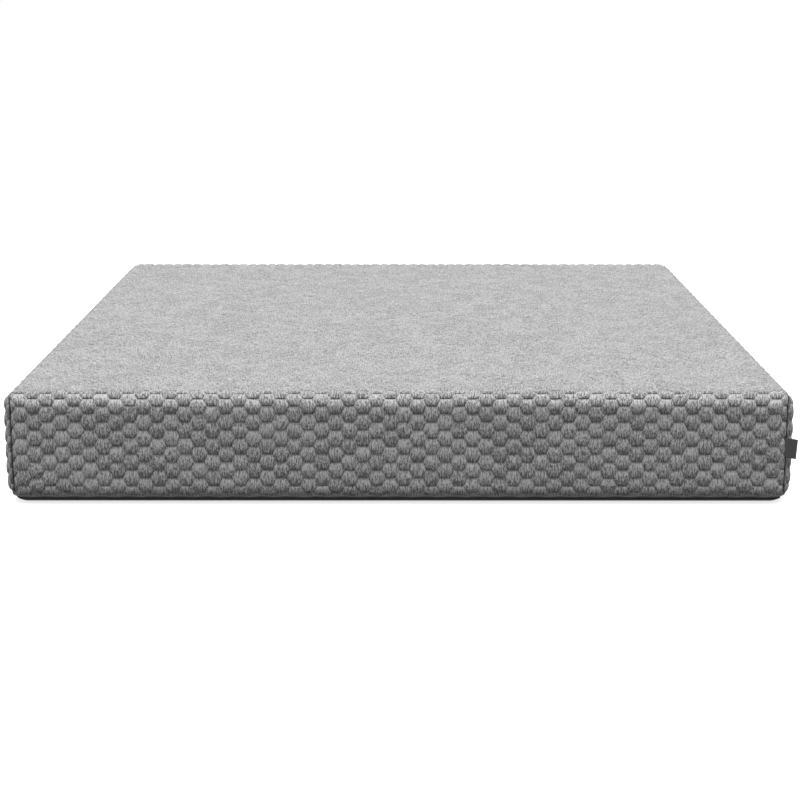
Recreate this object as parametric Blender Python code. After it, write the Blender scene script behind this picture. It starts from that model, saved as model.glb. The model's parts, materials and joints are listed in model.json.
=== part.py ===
"""King-size memory foam mattress: the zipped quilted cover and the foam and cloth inside it.

Metres, +Z up. The origin is on the floor under the middle of the bed. -Y is the foot end, +X the side
with the corner tag, and +Z points up to the sleeping surface.

The cover hugs the foam in thin layers. Each layer's `depth` is how far it lies inside the outer
surface, so one profile function draws them all.
"""

import math

import bmesh
import bpy
from mathutils import Matrix, Vector

# Overall size of the bed
WIDTH = 1.930
LENGTH = 2.032
HEIGHT = 0.280
PLAN_RADIUS = 0.050  # the four upright corners
TOP_RADIUS = 0.036  # the edge of the sleeping surface
HEM_RADIUS = 0.050  # the edge that curls under to the floor

# Thickness of each layer, from the outside in
GAP = 0.0003  # between pieces that touch
KNIT = 0.0022
WADDING = 0.0060
BACKING = 0.0008
BINDING = 0.0010
SOCK = 0.0012
BASE_CLOTH = 0.0008

# Foam, from the top down; the base core fills what is left
MEMORY_FOAM = 0.060
COMFORT_FOAM = 0.050
TRANSITION_FOAM = 0.040

# Seams: each side panel is sewn to the top panel in a flat U that lies this far inside the side
SEAM_INSET = 0.012
BINDING_WIDTH = 0.009

# Angles on the curled hem, from straight down round to level
KNIT_HEM = math.radians(62)
BASE_HEM = math.radians(38)
SOCK_HEM = math.radians(25)
ZIP_ANGLE = (KNIT_HEM + BASE_HEM) / 2

# Zip: the tape's edges tuck behind the knit, and the wadding starts clear of them
TAPE_REACH = 0.0135  # from the middle of the zip to a tape's edge
TAPE = 0.0008
HEM_ALLOWANCE = 0.003
TAPE_SINK = HEM_RADIUS - math.sqrt((HEM_RADIUS - KNIT - GAP) ** 2 - TAPE_REACH**2)
WADDING_HEM = (
    ZIP_ANGLE + math.asin(TAPE_REACH / (HEM_RADIUS - KNIT - GAP)) + HEM_ALLOWANCE / HEM_RADIUS
)
LANE = 0.0016  # the free strip between the two halves, where the slider's post runs
COIL_WIDTH = 0.0026
COIL_HEIGHT = 0.0022
ZIP_ENDS_X = 0.165 - WIDTH / 2  # where the zip's two ends meet, on the head end
ZIP_ENDS_GAP = 0.002
COIL_SETBACK = 0.012
STOP_LENGTH = 0.003
STOP_WIDTH = 0.0064

# Slider and pull
RUNNING = 0.0004  # clearance of what slides
POST_WIDTH = 0.0010
PLATE = 0.0010
FLANGE = 0.0012
SLIDER_LENGTH = 0.0120
CROWN_WIDTH = 0.0016
CROWN_BAR = 0.0009
CROWN_SPAN = 0.0078
PULL_THICKNESS = 0.0010
PULL_WIDTH = 0.0050
PULL_LENGTH = 0.0140
EYE_WIDTH = 0.0028

# Labels
TAG_REACH = 0.026
TAG_HEIGHT = 0.047
TAG_THICKNESS = 0.0012
TAG_Z = 0.141
TAG_TURN = math.radians(28)  # how far the tag leans from square across towards the foot end
LABEL_WIDTH = 0.100
LABEL_HEIGHT = 0.060
LABEL_THICKNESS = 0.0005
LABEL_X = WIDTH / 2 - 0.265
LABEL_Z = 0.090

# How finely curves are drawn
CORNER_STEPS = 6
EDGE_STEPS = 5
LEAST_RADIUS = 0.002  # of an outline drawn further in than the corner's own radius
SMOOTH_ANGLE = math.radians(40)


def srgb(code):
    """A linear RGBA colour from a hex code such as "9a9a9a"."""
    values = [int(code[i : i + 2], 16) / 255 for i in (0, 2, 4)]
    return [v / 12.92 if v <= 0.04045 else ((v + 0.055) / 1.055) ** 2.4 for v in values] + [1.0]


def make_material(name, code, roughness, metallic=0.0):
    """A plain Principled material."""
    material = bpy.data.materials.new(name)
    material.use_nodes = True
    shader = material.node_tree.nodes["Principled BSDF"]
    shader.inputs["Base Color"].default_value = srgb(code)
    shader.inputs["Roughness"].default_value = roughness
    shader.inputs["Metallic"].default_value = metallic
    material.diffuse_color = srgb(code)
    return material


def add_object(name, bm, material):
    """Turns a bmesh into a smooth-shaded object with its normals facing out."""
    bmesh.ops.recalc_face_normals(bm, faces=bm.faces[:])
    mesh = bpy.data.meshes.new(name)
    bm.to_mesh(mesh)
    bm.free()
    if material:
        mesh.materials.append(material)
    mesh.shade_smooth()
    mesh.set_sharp_from_angle(angle=SMOOTH_ANGLE)
    obj = bpy.data.objects.new(name, mesh)
    bpy.context.scene.collection.objects.link(obj)
    return obj


def skin(name, loops, material):
    """Joins loops of points, one after another, into a closed body with a flat face at each end."""
    bm = bmesh.new()
    rows = [[bm.verts.new(point) for point in loop] for loop in loops]
    for low, high in zip(rows, rows[1:]):
        for i in range(len(low)):
            j = (i + 1) % len(low)
            bm.faces.new((low[i], low[j], high[j], high[i]))
    bm.faces.new(rows[0])
    bm.faces.new(rows[-1])
    return add_object(name, bm, material)


def box(name, low, high, material):
    """A box between two corners, in its own coordinates."""
    level = [(low[0], low[1]), (high[0], low[1]), (high[0], high[1]), (low[0], high[1])]
    return skin(name, [[(x, y, z) for x, y in level] for z in (low[2], high[2])], material)


def prism(name, outline_yz, length, material):
    """An outline in the Y-Z plane, drawn out along X and centred on it."""
    ends = (-length / 2, length / 2)
    return skin(name, [[(x, y, z) for y, z in outline_yz] for x in ends], material)


def hide_helper(obj):
    """Marks a cutter, so that it is neither rendered nor counted as a piece."""
    obj.hide_render = True
    obj.display_type = "WIRE"
    return obj


def boolean(obj, helper, operation):
    """Adds an exact Boolean modifier."""
    modifier = obj.modifiers.new(operation.title(), "BOOLEAN")
    modifier.operation = operation
    modifier.object = helper


def outline(inset, height):
    """The bed's plan, moved in by inset: anticlockwise from the head end's left corner."""
    half_x, half_y = WIDTH / 2 - inset, LENGTH / 2 - inset
    radius = max(PLAN_RADIUS - inset, LEAST_RADIUS)
    points = []
    for quarter, (side_x, side_y) in enumerate(((-1, 1), (-1, -1), (1, -1), (1, 1)), start=1):
        centre = Vector((side_x * (half_x - radius), side_y * (half_y - radius), height))
        for step in range(CORNER_STEPS + 1):
            angle = math.pi / 2 * (quarter + step / CORNER_STEPS)
            points.append(centre + radius * Vector((math.cos(angle), math.sin(angle), 0)))
    return points


def arc(steps, start, end):
    """Evenly spaced angles from start to end."""
    return [start + (end - start) * i / steps for i in range(steps + 1)]


def hem_arc(depth, floor, angles):
    """(inset, height) points up the curled bottom edge, at these angles from straight down.

    The layer lies at its floor height under the bed and eases in to its wall depth by the knit's hem.
    """
    points = []
    for angle in angles:
        radius = HEM_RADIUS - floor - (depth - floor) * min(angle / KNIT_HEM, 1)
        points.append((HEM_RADIUS - radius * math.sin(angle), HEM_RADIUS - radius * math.cos(angle)))
    return points


def top_arc(inset, height, radius):
    """(inset, height) points from level over the top edge; inset and height are the arc's limits."""
    angles = arc(EDGE_STEPS, 0, math.pi / 2)
    return [(inset + radius * (1 - math.cos(a)), height - radius * (1 - math.sin(a))) for a in angles]


def wall(depth, hem_start):
    """The profile of one cover layer, from its hem to the flat of the top."""
    low = hem_arc(depth, depth, arc(EDGE_STEPS, hem_start, math.pi / 2))
    return low + top_arc(depth, HEIGHT - depth, TOP_RADIUS - depth)


def shell(name, outer, inner, material):
    """A five-sided shell between two profiles, open underneath."""
    return skin(name, [outline(*point) for point in outer[::-1] + inner], material)


def zip_point(across, out):
    """The (inset, height) of a point across the zip tape and out along its normal."""
    radius = HEM_RADIUS + out
    inset = HEM_RADIUS - radius * math.sin(ZIP_ANGLE) - across * math.cos(ZIP_ANGLE)
    return inset, HEM_RADIUS - radius * math.cos(ZIP_ANGLE) + across * math.sin(ZIP_ANGLE)


def zip_strip(name, low, high, setback, material):
    """A strip of the zip, from corner low to corner high of its section, right round the hem.

    It starts and ends on the head end, each end drawn back by setback from where the two meet.
    """
    section = [zip_point(*p) for p in (low, (high[0], low[1]), high, (low[0], high[1]))]
    rings = [outline(*point) for point in section]
    reach = ZIP_ENDS_GAP / 2 + setback
    first = [Vector((ZIP_ENDS_X - reach, ring[0].y, ring[0].z)) for ring in rings]
    last = [Vector((ZIP_ENDS_X + reach, ring[0].y, ring[0].z)) for ring in rings]
    loops = [first] + [list(points) for points in zip(*rings)] + [last]
    return skin(name, loops, material)


def at_zip(obj, x, out):
    """Places a piece on the head end's stretch of the zip.

    Its own X runs the way the slider closes, its Y up across the tape and its Z out along the normal.
    """
    sine, cosine = math.sin(ZIP_ANGLE), math.cos(ZIP_ANGLE)
    inset, height = zip_point(0, out)
    turn = Matrix(((-1, 0, 0), (0, cosine, sine), (0, sine, -cosine)))
    obj.matrix_world = Matrix.Translation((x, LENGTH / 2 - inset, height)) @ turn.to_4x4()


def layer_depths():
    """The outer and inner depth of each cover layer, by name, and the depth where the foam begins."""
    depths, depth = {}, 0.0
    layers = {"knit": KNIT, "wadding": WADDING, "backing": BACKING, "binding": BINDING, "sock": SOCK}
    for name, thickness in layers.items():
        depths[name] = (depth, depth + thickness)
        depth += thickness + GAP
    return depths, depth


def make_materials():
    """Every material of the bed, by name."""
    return {
        "knit": make_material("honeycomb_knit", "a4a4a4", 0.9),
        "wadding": make_material("polyester_wadding", "e8e8e4", 1.0),
        "backing": make_material("nonwoven_backing", "dcdcd8", 0.9),
        "binding": make_material("polyester_binding", "8c8c8c", 0.8),
        "base": make_material("grip_knit", "3a3a3c", 0.85),
        "tape": make_material("zip_tape", "242426", 0.8),
        "coil": make_material("nylon_coil", "1c1c1e", 0.5),
        "metal": make_material("zinc_alloy", "8a8a8c", 0.35, 1.0),
        "tag": make_material("black_satin", "282828", 0.6),
        "label": make_material("label_cloth", "e4e4e0", 0.8),
        "sock": make_material("fire_barrier_knit", "f0eee6", 0.95),
        "memory": make_material("memory_foam", "dfe6ea", 0.95),
        "comfort": make_material("comfort_foam", "f1efe6", 0.95),
        "transition": make_material("transition_foam", "e9e4d0", 0.95),
        "core": make_material("base_foam", "d9d9d6", 0.95),
    }


def make_cutters(binding_depth):
    """The blocks that cut each layer into the top panel and its sides, and the two binding strips."""
    seam = WIDTH / 2 - SEAM_INSET
    far_x, far_y, far_z = WIDTH, LENGTH, HEIGHT * 2
    edge = min(seam, WIDTH / 2 - binding_depth) - GAP
    spans = {
        "top": (GAP / 2 - seam, seam - GAP / 2),
        "left": (-far_x, -seam - GAP / 2),
        "right": (seam + GAP / 2, far_x),
        "left_seam_binding": (-edge, BINDING_WIDTH - edge),
        "right_seam_binding": (edge - BINDING_WIDTH, edge),
    }
    return {
        name: hide_helper(box(f"{name}_cutter", (low, -far_y, -far_z), (high, far_y, far_z), None))
        for name, (low, high) in spans.items()
    }


def build_cover(materials):
    """The quilted cover: three layers, each cut into a top panel and two side panels."""
    depths, _ = layer_depths()
    cutters = make_cutters(depths["binding"][1])
    pieces = (
        ("knit", KNIT_HEM, ("top", "left", "right"), "{}_cover_panel"),
        ("wadding", WADDING_HEM, ("top", "left", "right"), "{}_quilt_wadding"),
        ("backing", WADDING_HEM, ("top", "left", "right"), "{}_quilt_backing"),
        ("binding", WADDING_HEM, ("left_seam_binding", "right_seam_binding"), "{}"),
    )
    for layer, hem, sides, name in pieces:
        outer, inner = (wall(depth, hem) for depth in depths[layer])
        for side in sides:
            panel = shell(name.format(side), outer, inner, materials[layer])
            boolean(panel, cutters[side], "INTERSECT")


def build_base(materials):
    """The bottom cover, which curls up to the zip, and the fire barrier's floor cloth."""
    outer, inner = (hem_arc(depth, depth, arc(EDGE_STEPS, BASE_HEM, 0)) for depth in (0, KNIT))
    shell("bottom_cover", outer, inner, materials["base"])
    reach = WIDTH / 2 - HEM_RADIUS, LENGTH / 2 - HEM_RADIUS
    low = KNIT + GAP
    box("fire_barrier_base", (-reach[0], -reach[1], low), (*reach, low + BASE_CLOTH), materials["sock"])


def build_foam(materials):
    """Four foam layers and the fire-barrier sock drawn over them."""
    depths, depth = layer_depths()
    floor = KNIT + BASE_CLOTH + 2 * GAP
    top = HEIGHT - depth
    cuts = [top]
    for thickness in (MEMORY_FOAM, COMFORT_FOAM, TRANSITION_FOAM):
        cuts.append(cuts[-1] - thickness)
    plain = (("comfort_foam_layer", "comfort"), ("transition_foam_layer", "transition"))
    lid = [(depth, cuts[1] + GAP / 2)] + top_arc(depth, top, TOP_RADIUS - depth)
    skin("memory_foam_layer", [outline(*p) for p in lid], materials["memory"])
    for (name, key), high, low in zip(plain, cuts[1:], cuts[2:]):
        slab = [(depth, low + GAP / 2), (depth, high - GAP / 2)]
        skin(name, [outline(*p) for p in slab], materials[key])
    curl = arc(EDGE_STEPS, SOCK_HEM, math.pi / 2)
    core = hem_arc(depth, floor, [0] + curl) + [(depth, cuts[3] - GAP / 2)]
    skin("base_foam_core", [outline(*p) for p in core], materials["core"])
    outer, inner = (
        hem_arc(side, floor + side - depth, curl) + top_arc(side, HEIGHT - side, TOP_RADIUS - side)
        for side in depths["sock"]
    )
    shell("fire_barrier_sock", outer, inner, materials["sock"])


def build_zip(materials):
    """The zip round the hem: two tapes, two coils and a stop at each end."""
    face = -TAPE_SINK
    half = LANE / 2
    coil_low, coil_high = face + GAP, face + GAP + COIL_HEIGHT
    for side, name in ((1, "upper"), (-1, "lower")):
        edges = sorted((side * half, side * TAPE_REACH))
        low, high = (edges[0], face - TAPE), (edges[1], face)
        zip_strip(f"zip_tape_{name}", low, high, 0, materials["tape"])
        edges = sorted((side * half, side * (half + COIL_WIDTH)))
        low, high = (edges[0], coil_low), (edges[1], coil_high)
        zip_strip(f"zip_coil_{name}", low, high, COIL_SETBACK, materials["coil"])
    reach = ZIP_ENDS_GAP / 2 + COIL_SETBACK - GAP - STOP_LENGTH / 2
    size = Vector((STOP_LENGTH, STOP_WIDTH, COIL_HEIGHT)) / 2
    for side, name in ((-1, "zip_stop_open"), (1, "zip_stop_closed")):
        stop = box(name, -size, size, materials["metal"])
        at_zip(stop, ZIP_ENDS_X + side * reach, (coil_low + coil_high) / 2)


def slider_outline():
    """Half of the slider's section, then its mirror image: two plates on a post, with flanges."""
    coil_side = LANE / 2 + COIL_WIDTH + RUNNING
    coil_top = GAP + COIL_HEIGHT - TAPE_SINK + RUNNING
    tape_back = -TAPE_SINK - TAPE - RUNNING
    slot = RUNNING * 2 - TAPE_SINK
    post, edge = POST_WIDTH / 2, coil_side + FLANGE
    half = [
        (edge, tape_back - PLATE),
        (edge, tape_back),
        (post, tape_back),
        (post, coil_top),
        (coil_side, coil_top),
        (coil_side, slot),
        (edge, slot),
        (edge, coil_top + PLATE),
    ]
    return half + [(-y, z) for y, z in reversed(half)]


def build_slider(materials):
    """The slider, parked closed, and the pull that hangs from its crown and swings about its own bar."""
    plate_top = GAP + COIL_HEIGHT - TAPE_SINK + RUNNING + PLATE
    x = ZIP_ENDS_X + ZIP_ENDS_GAP / 2 + COIL_SETBACK + RUNNING + SLIDER_LENGTH / 2
    slider = prism("zip_slider", slider_outline(), SLIDER_LENGTH, materials["metal"])
    window = PULL_THICKNESS + 2 * RUNNING
    root, half = plate_top - PLATE / 2, CROWN_SPAN / 2
    size = Vector((half, CROWN_WIDTH / 2, 0))
    arch = box("crown_block", Vector((0, 0, root)) - size,
               Vector((0, 0, plate_top + window + CROWN_BAR)) + size, materials["metal"])
    inside = Vector((half - CROWN_BAR, CROWN_WIDTH, 0))
    eye = box("crown_window", Vector((0, 0, plate_top)) - inside,
              Vector((0, 0, plate_top + window)) + inside, None)
    boolean(arch, hide_helper(eye), "DIFFERENCE")
    boolean(slider, hide_helper(arch), "UNION")
    for piece in (slider, arch, eye):
        at_zip(piece, x, 0)

    half_pull = Vector((PULL_THICKNESS / 2, PULL_WIDTH / 2, PULL_THICKNESS / 2))
    pull = box("zip_pull", -half_pull,
               half_pull + Vector((0, 0, PULL_LENGTH - PULL_THICKNESS)), materials["metal"])
    bar_reach = math.hypot(half, CROWN_BAR + window / 2) + RUNNING
    hole = box("pull_eye", Vector((-PULL_WIDTH, -EYE_WIDTH / 2, PULL_THICKNESS / 2)),
               Vector((PULL_WIDTH, EYE_WIDTH / 2, bar_reach)), None)
    boolean(pull, hide_helper(hole), "DIFFERENCE")
    for piece in (pull, hole):
        at_zip(piece, x, plate_top + window / 2)
    pull.parent = slider
    pull.matrix_parent_inverse = slider.matrix_world.inverted()


def build_labels(materials):
    """The blank tag in the right foot corner's seam, and the blank care label on the head end."""
    seam_x = WIDTH / 2 - SEAM_INSET
    around = math.acos((PLAN_RADIUS - SEAM_INSET) / PLAN_RADIUS)
    seam_y = -(LENGTH / 2 - PLAN_RADIUS) - PLAN_RADIUS * math.sin(around)
    tag = box("corner_tag", (2 * GAP, -TAG_THICKNESS / 2, -TAG_HEIGHT / 2),
              (TAG_REACH, TAG_THICKNESS / 2, TAG_HEIGHT / 2), materials["tag"])
    tag.location = (seam_x, seam_y, TAG_Z)
    tag.rotation_euler = (0, 0, -TAG_TURN)
    label = box("care_label", (-LABEL_WIDTH / 2, GAP, -LABEL_HEIGHT / 2),
                (LABEL_WIDTH / 2, GAP + LABEL_THICKNESS, LABEL_HEIGHT / 2), materials["label"])
    label.location = (LABEL_X, LENGTH / 2, LABEL_Z)


def main():
    """Clears the scene and builds the mattress."""
    for obj in list(bpy.data.objects):
        bpy.data.objects.remove(obj, do_unlink=True)
    materials = make_materials()
    build_cover(materials)
    build_base(materials)
    build_foam(materials)
    build_zip(materials)
    build_slider(materials)
    build_labels(materials)


main()
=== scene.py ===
"""Memory foam mattress: the quilted cover, zip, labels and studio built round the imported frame.

Metres, in the frame's own axes: -Y is the foot end, +X the side with the corner tag, +Z up. The cover is
cut as a maker cuts it: one long quilted panel runs up the foot end, over the top and down the head end,
and a side panel is sewn to each of its long edges. Every panel is a honeycomb of small stuffed cells.
"""

from __future__ import annotations

import json
import logging
import math
from dataclasses import dataclass
from enum import Enum
from typing import Callable, Protocol

import bpy
import numpy as np
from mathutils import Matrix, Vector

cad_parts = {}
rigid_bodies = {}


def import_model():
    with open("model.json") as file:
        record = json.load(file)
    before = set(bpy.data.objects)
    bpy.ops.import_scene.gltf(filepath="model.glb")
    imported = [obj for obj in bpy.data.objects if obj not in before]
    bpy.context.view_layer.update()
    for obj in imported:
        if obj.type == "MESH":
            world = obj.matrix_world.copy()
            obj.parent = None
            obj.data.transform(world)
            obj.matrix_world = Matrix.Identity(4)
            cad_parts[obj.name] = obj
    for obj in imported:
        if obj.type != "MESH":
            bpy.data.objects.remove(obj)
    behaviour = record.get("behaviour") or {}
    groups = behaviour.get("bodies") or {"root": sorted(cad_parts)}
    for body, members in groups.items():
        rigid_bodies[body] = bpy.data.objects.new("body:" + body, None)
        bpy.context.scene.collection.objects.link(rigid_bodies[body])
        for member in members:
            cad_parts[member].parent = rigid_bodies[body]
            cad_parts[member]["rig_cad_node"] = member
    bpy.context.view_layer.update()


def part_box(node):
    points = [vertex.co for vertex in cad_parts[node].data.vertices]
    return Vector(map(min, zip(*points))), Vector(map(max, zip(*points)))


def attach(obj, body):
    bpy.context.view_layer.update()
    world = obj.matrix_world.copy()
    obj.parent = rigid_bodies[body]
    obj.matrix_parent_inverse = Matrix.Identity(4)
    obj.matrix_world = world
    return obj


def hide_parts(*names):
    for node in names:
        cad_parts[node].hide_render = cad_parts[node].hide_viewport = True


Array = np.ndarray
Lines = tuple[Array, Array]
Wave = tuple[float, float, float]
Socket = bpy.types.NodeSocket

BODY = "mattress"
CLOTH = "cloth"
SHADER = "Principled BSDF"
MM = 0.001
QUARTER = math.pi / 2
WHITE = (1.0, 1.0, 1.0, 1.0)
SCATTER = (12.9898, 78.233, 37.719, 43758.5453)  # a sine hash's usual factors
TINY = 1e-8  # keeps roots and divisions off zero
SAME_POINT = 0.05 * MM  # corners nearer to each other than this are one
ON_EDGE = 0.01 * MM  # a point nearer to a panel's edge than this lies on it
COLOURS = {"data_type": "RGBA", "output": 2}  # a Mix node for colours, which come in at 6 and 7

log = logging.getLogger("mattress")


# ---------------------------------------------------------------- small helpers


def linear(code: str) -> tuple[float, float, float, float]:
    """Turns an sRGB hex colour into a linear RGBA colour.

    Args:
        code: six hex digits, such as "b4b4b4".

    Returns:
        The linear red, green, blue and an alpha of 1.
    """
    channels = [int(code[i : i + 2], 16) / 255 for i in (0, 2, 4)]
    values = [c / 12.92 if c <= 0.04045 else ((c + 0.055) / 1.055) ** 2.4 for c in channels]
    return values[0], values[1], values[2], 1.0


def smoothstep(low: float, high: float, value: Array) -> Array:
    """Eases from 0 at low to 1 at high.

    Args:
        low: the value where the result leaves 0.
        high: the value where the result reaches 1.
        value: the values to ease.

    Returns:
        An array of numbers from 0 to 1.
    """
    share = np.clip((value - low) / (high - low), 0.0, 1.0)
    return share * share * (3.0 - 2.0 * share)


def hashed(i: Array, j: Array, salt: int) -> Array:
    """A repeatable scatter of numbers for a grid of cells.

    Args:
        i: column numbers.
        j: row numbers.
        salt: picks one scatter out of many.

    Returns:
        Numbers from 0 to 1, one for each cell.
    """
    across, up, pick, spread = SCATTER
    mixed = np.sin(i * across + j * up + salt * pick) * spread
    return mixed - np.floor(mixed)


def unit(vectors: Array) -> Array:
    """Scales each row to length 1.

    Args:
        vectors: rows of three numbers.

    Returns:
        The same directions with length 1.
    """
    return vectors / np.maximum(np.linalg.norm(vectors, axis=1, keepdims=True), 1e-12)


def make_object(name: str, points: Array, faces: list, uv: Array | None = None) -> bpy.types.Object:
    """Makes a smooth-shaded mesh object.

    Args:
        name: the piece's name.
        points: rows of x, y, z.
        faces: tuples of point numbers, anticlockwise from outside.
        uv: where each face corner lies on the flat cloth, in metres, or None.

    Returns:
        The new object, linked to the scene.
    """
    mesh = bpy.data.meshes.new(name)
    mesh.from_pydata(points.tolist(), [], faces)
    if uv is not None:
        layer = mesh.uv_layers.new(name=CLOTH)
        layer.data.foreach_set("uv", np.ascontiguousarray(uv, dtype=np.float32).ravel())
    mesh.shade_smooth()
    obj = bpy.data.objects.new(name, mesh)
    bpy.context.scene.collection.objects.link(obj)
    return obj


def travelled(points: Array) -> Array:
    """The distance walked at each point of a line."""
    return np.concatenate([[0.0], np.cumsum(np.linalg.norm(np.diff(points, axis=0), axis=1))])


def loft(name: str, rows: list[Array]) -> bpy.types.Object:
    """Joins rows of points into a skin, with its UV map in metres along and across it.

    Args:
        name: the piece's name.
        rows: arrays of points, one after another, all of one length.

    Returns:
        The new object.
    """
    count = len(rows[0])
    along = travelled(rows[0])
    across = travelled(np.array([row[0] for row in rows]))
    faces, corners = [], []
    for row in range(len(rows) - 1):
        near, far = across[row], across[row + 1]
        for k in range(count - 1):
            at = row * count + k
            faces.append((at, at + 1, at + count + 1, at + count))
            corners += [(along[k], near), (along[k + 1], near), (along[k + 1], far), (along[k], far)]
    return make_object(name, np.vstack(rows), faces, np.array(corners))


def tube_faces(count: int, rings: int, sides: int) -> list[tuple[int, ...]]:
    """The faces of many equal open tubes.

    Args:
        count: how many tubes there are.
        rings: the rings of points along each.
        sides: the points in each ring.

    Returns:
        The faces, tube by tube.
    """
    starts = [(tube * rings + ring) * sides for tube in range(count) for ring in range(rings - 1)]
    turns = [(k, (k + 1) % sides) for k in range(sides)]
    return [(at + a, at + b, at + sides + b, at + sides + a) for at in starts for a, b in turns]


def place(piece: bpy.types.Object, slot: str, *nodes: str) -> None:
    """Rides a piece on the mattress and lets it stand for its CAD nodes.

    Args:
        piece: the finished piece.
        slot: the record's material slot; not used.
        nodes: the CAD nodes that it stands for.
    """
    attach(piece, BODY)
    if nodes:
        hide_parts(*nodes)
    log.info("%s: %d faces", piece.name, len(piece.data.polygons))


# ---------------------------------------------------------------- finishes


class Finish(Protocol):
    """Anything that can be made into a Blender material."""

    def make(self) -> bpy.types.Material:
        """Builds the material."""


class Graph:
    """A node tree, with one short way to add to it."""

    def __init__(self, owner: bpy.types.Material | bpy.types.World) -> None:
        """Takes the tree of a new material or world.

        Args:
            owner: the material or the world.
        """
        owner.use_nodes = True
        self.owner = owner
        self.tree = owner.node_tree

    def supply(self, target: Socket, source: object) -> None:
        """Links an input to a socket, or gives it a fixed value.

        Args:
            target: the input.
            source: the socket that feeds it, or its value.
        """
        if isinstance(source, Socket):
            self.tree.links.new(source, target)
        else:
            target.default_value = source

    def add(self, kind: str, inputs: dict | None = None, output: int | str = 0,
            **settings: object) -> Socket:
        """Adds a node with its settings and links.

        Args:
            kind: the node's type, such as "ShaderNodeTexNoise".
            inputs: a socket or a value for each input, by the input's name or number.
            output: the name or number of the output that is wanted.
            settings: properties of the node.

        Returns:
            That output.
        """
        node = self.tree.nodes.new(kind)
        for key, value in settings.items():
            setattr(node, key, value)
        for key, source in (inputs or {}).items():
            self.supply(node.inputs[key], source)
        return node.outputs[output]

    def weighted(self, start: float, *terms: tuple[Socket, object]) -> Socket:
        """Adds sockets up, each times its weight.

        Args:
            start: the number that the sum starts from.
            terms: pairs of a socket and its weight, which is a number or a socket.

        Returns:
            The sum.
        """
        total = start
        for source, weight in terms:
            total = self.add("ShaderNodeMath", {0: source, 1: weight, 2: total}, operation="MULTIPLY_ADD")
        return total

    def feed(self, node: str, **inputs: object) -> None:
        """Feeds a node that was there from the start.

        Args:
            node: its name.
            inputs: a socket or a value for each input, with underscores for the spaces in its name.
        """
        for key, source in inputs.items():
            self.supply(self.tree.nodes[node].inputs[key.replace("_", " ")], source)


def band_scale(pitch: float) -> float:
    """The wave texture's scale at which its bands are that far apart."""
    return math.tau / pitch / 20


# ---------------------------------------------------------------- the bed's surfaces


@dataclass(frozen=True)
class Bed:
    """The mattress's outside, as it was packed: half sizes and the radii of its edges."""

    half_width: float
    half_length: float
    height: float
    plan_radius: float = 50 * MM
    top_radius: float = 36 * MM
    hem_radius: float = 50 * MM
    corner_inset: float = 19 * MM  # from the side in to the seam, on the upright corners
    edge_inset: float = 12 * MM  # and the same along the top edge
    hem_angle: float = math.radians(55)

    @classmethod
    def measured(cls) -> Bed:
        """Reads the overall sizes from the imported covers.

        Returns:
            The bed.
        """
        _, side_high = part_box("right_cover_panel")
        _, top_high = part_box("top_cover_panel")
        return cls(float(side_high[0]), float(top_high[1]), float(top_high[2]))

    @property
    def corner_x(self) -> float:
        """The middle of an upright corner, across the bed."""
        return self.half_width - self.plan_radius

    @property
    def corner_y(self) -> float:
        """The middle of an upright corner, along the bed."""
        return self.half_length - self.plan_radius

    @property
    def shoulder(self) -> float:
        """The height where the wall starts to turn over into the top."""
        return self.height - self.top_radius

    @property
    def seam_x(self) -> float:
        """Where the side seams lie on the upright corners."""
        return self.half_width - self.corner_inset

    @property
    def seam_bow(self) -> float:
        """How far the seam lies beyond the corner's middle, along the bed."""
        return math.sqrt(self.plan_radius**2 - (self.plan_radius - self.corner_inset) ** 2)

    @property
    def seam_rise(self) -> float:
        """How far the seam lies above the shoulder."""
        return math.sqrt(self.top_radius**2 - (self.top_radius - self.edge_inset) ** 2)

    @property
    def hem_length(self) -> float:
        """The cloth from the hem up to the straight wall."""
        return self.hem_radius * (QUARTER - self.hem_angle)


class Panel(Protocol):
    """A quilted panel, in the flat coordinates of its own cloth."""

    nodes: tuple[str, ...]

    def outline(self) -> Array:
        """The cut edge, anticlockwise."""

    def surface(self, u: Array, v: Array) -> Array:
        """Where each point of the cloth lies on the bed."""

    def relief(self, u: Array, v: Array) -> Array:
        """How far a cell stands up there."""

    def rise(self, u: Array, v: Array) -> Array:
        """How steeply +v climbs there, from -1 to 1."""

    def above_hem(self, v: Array) -> Array:
        """The cloth between there and the hem."""


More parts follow.
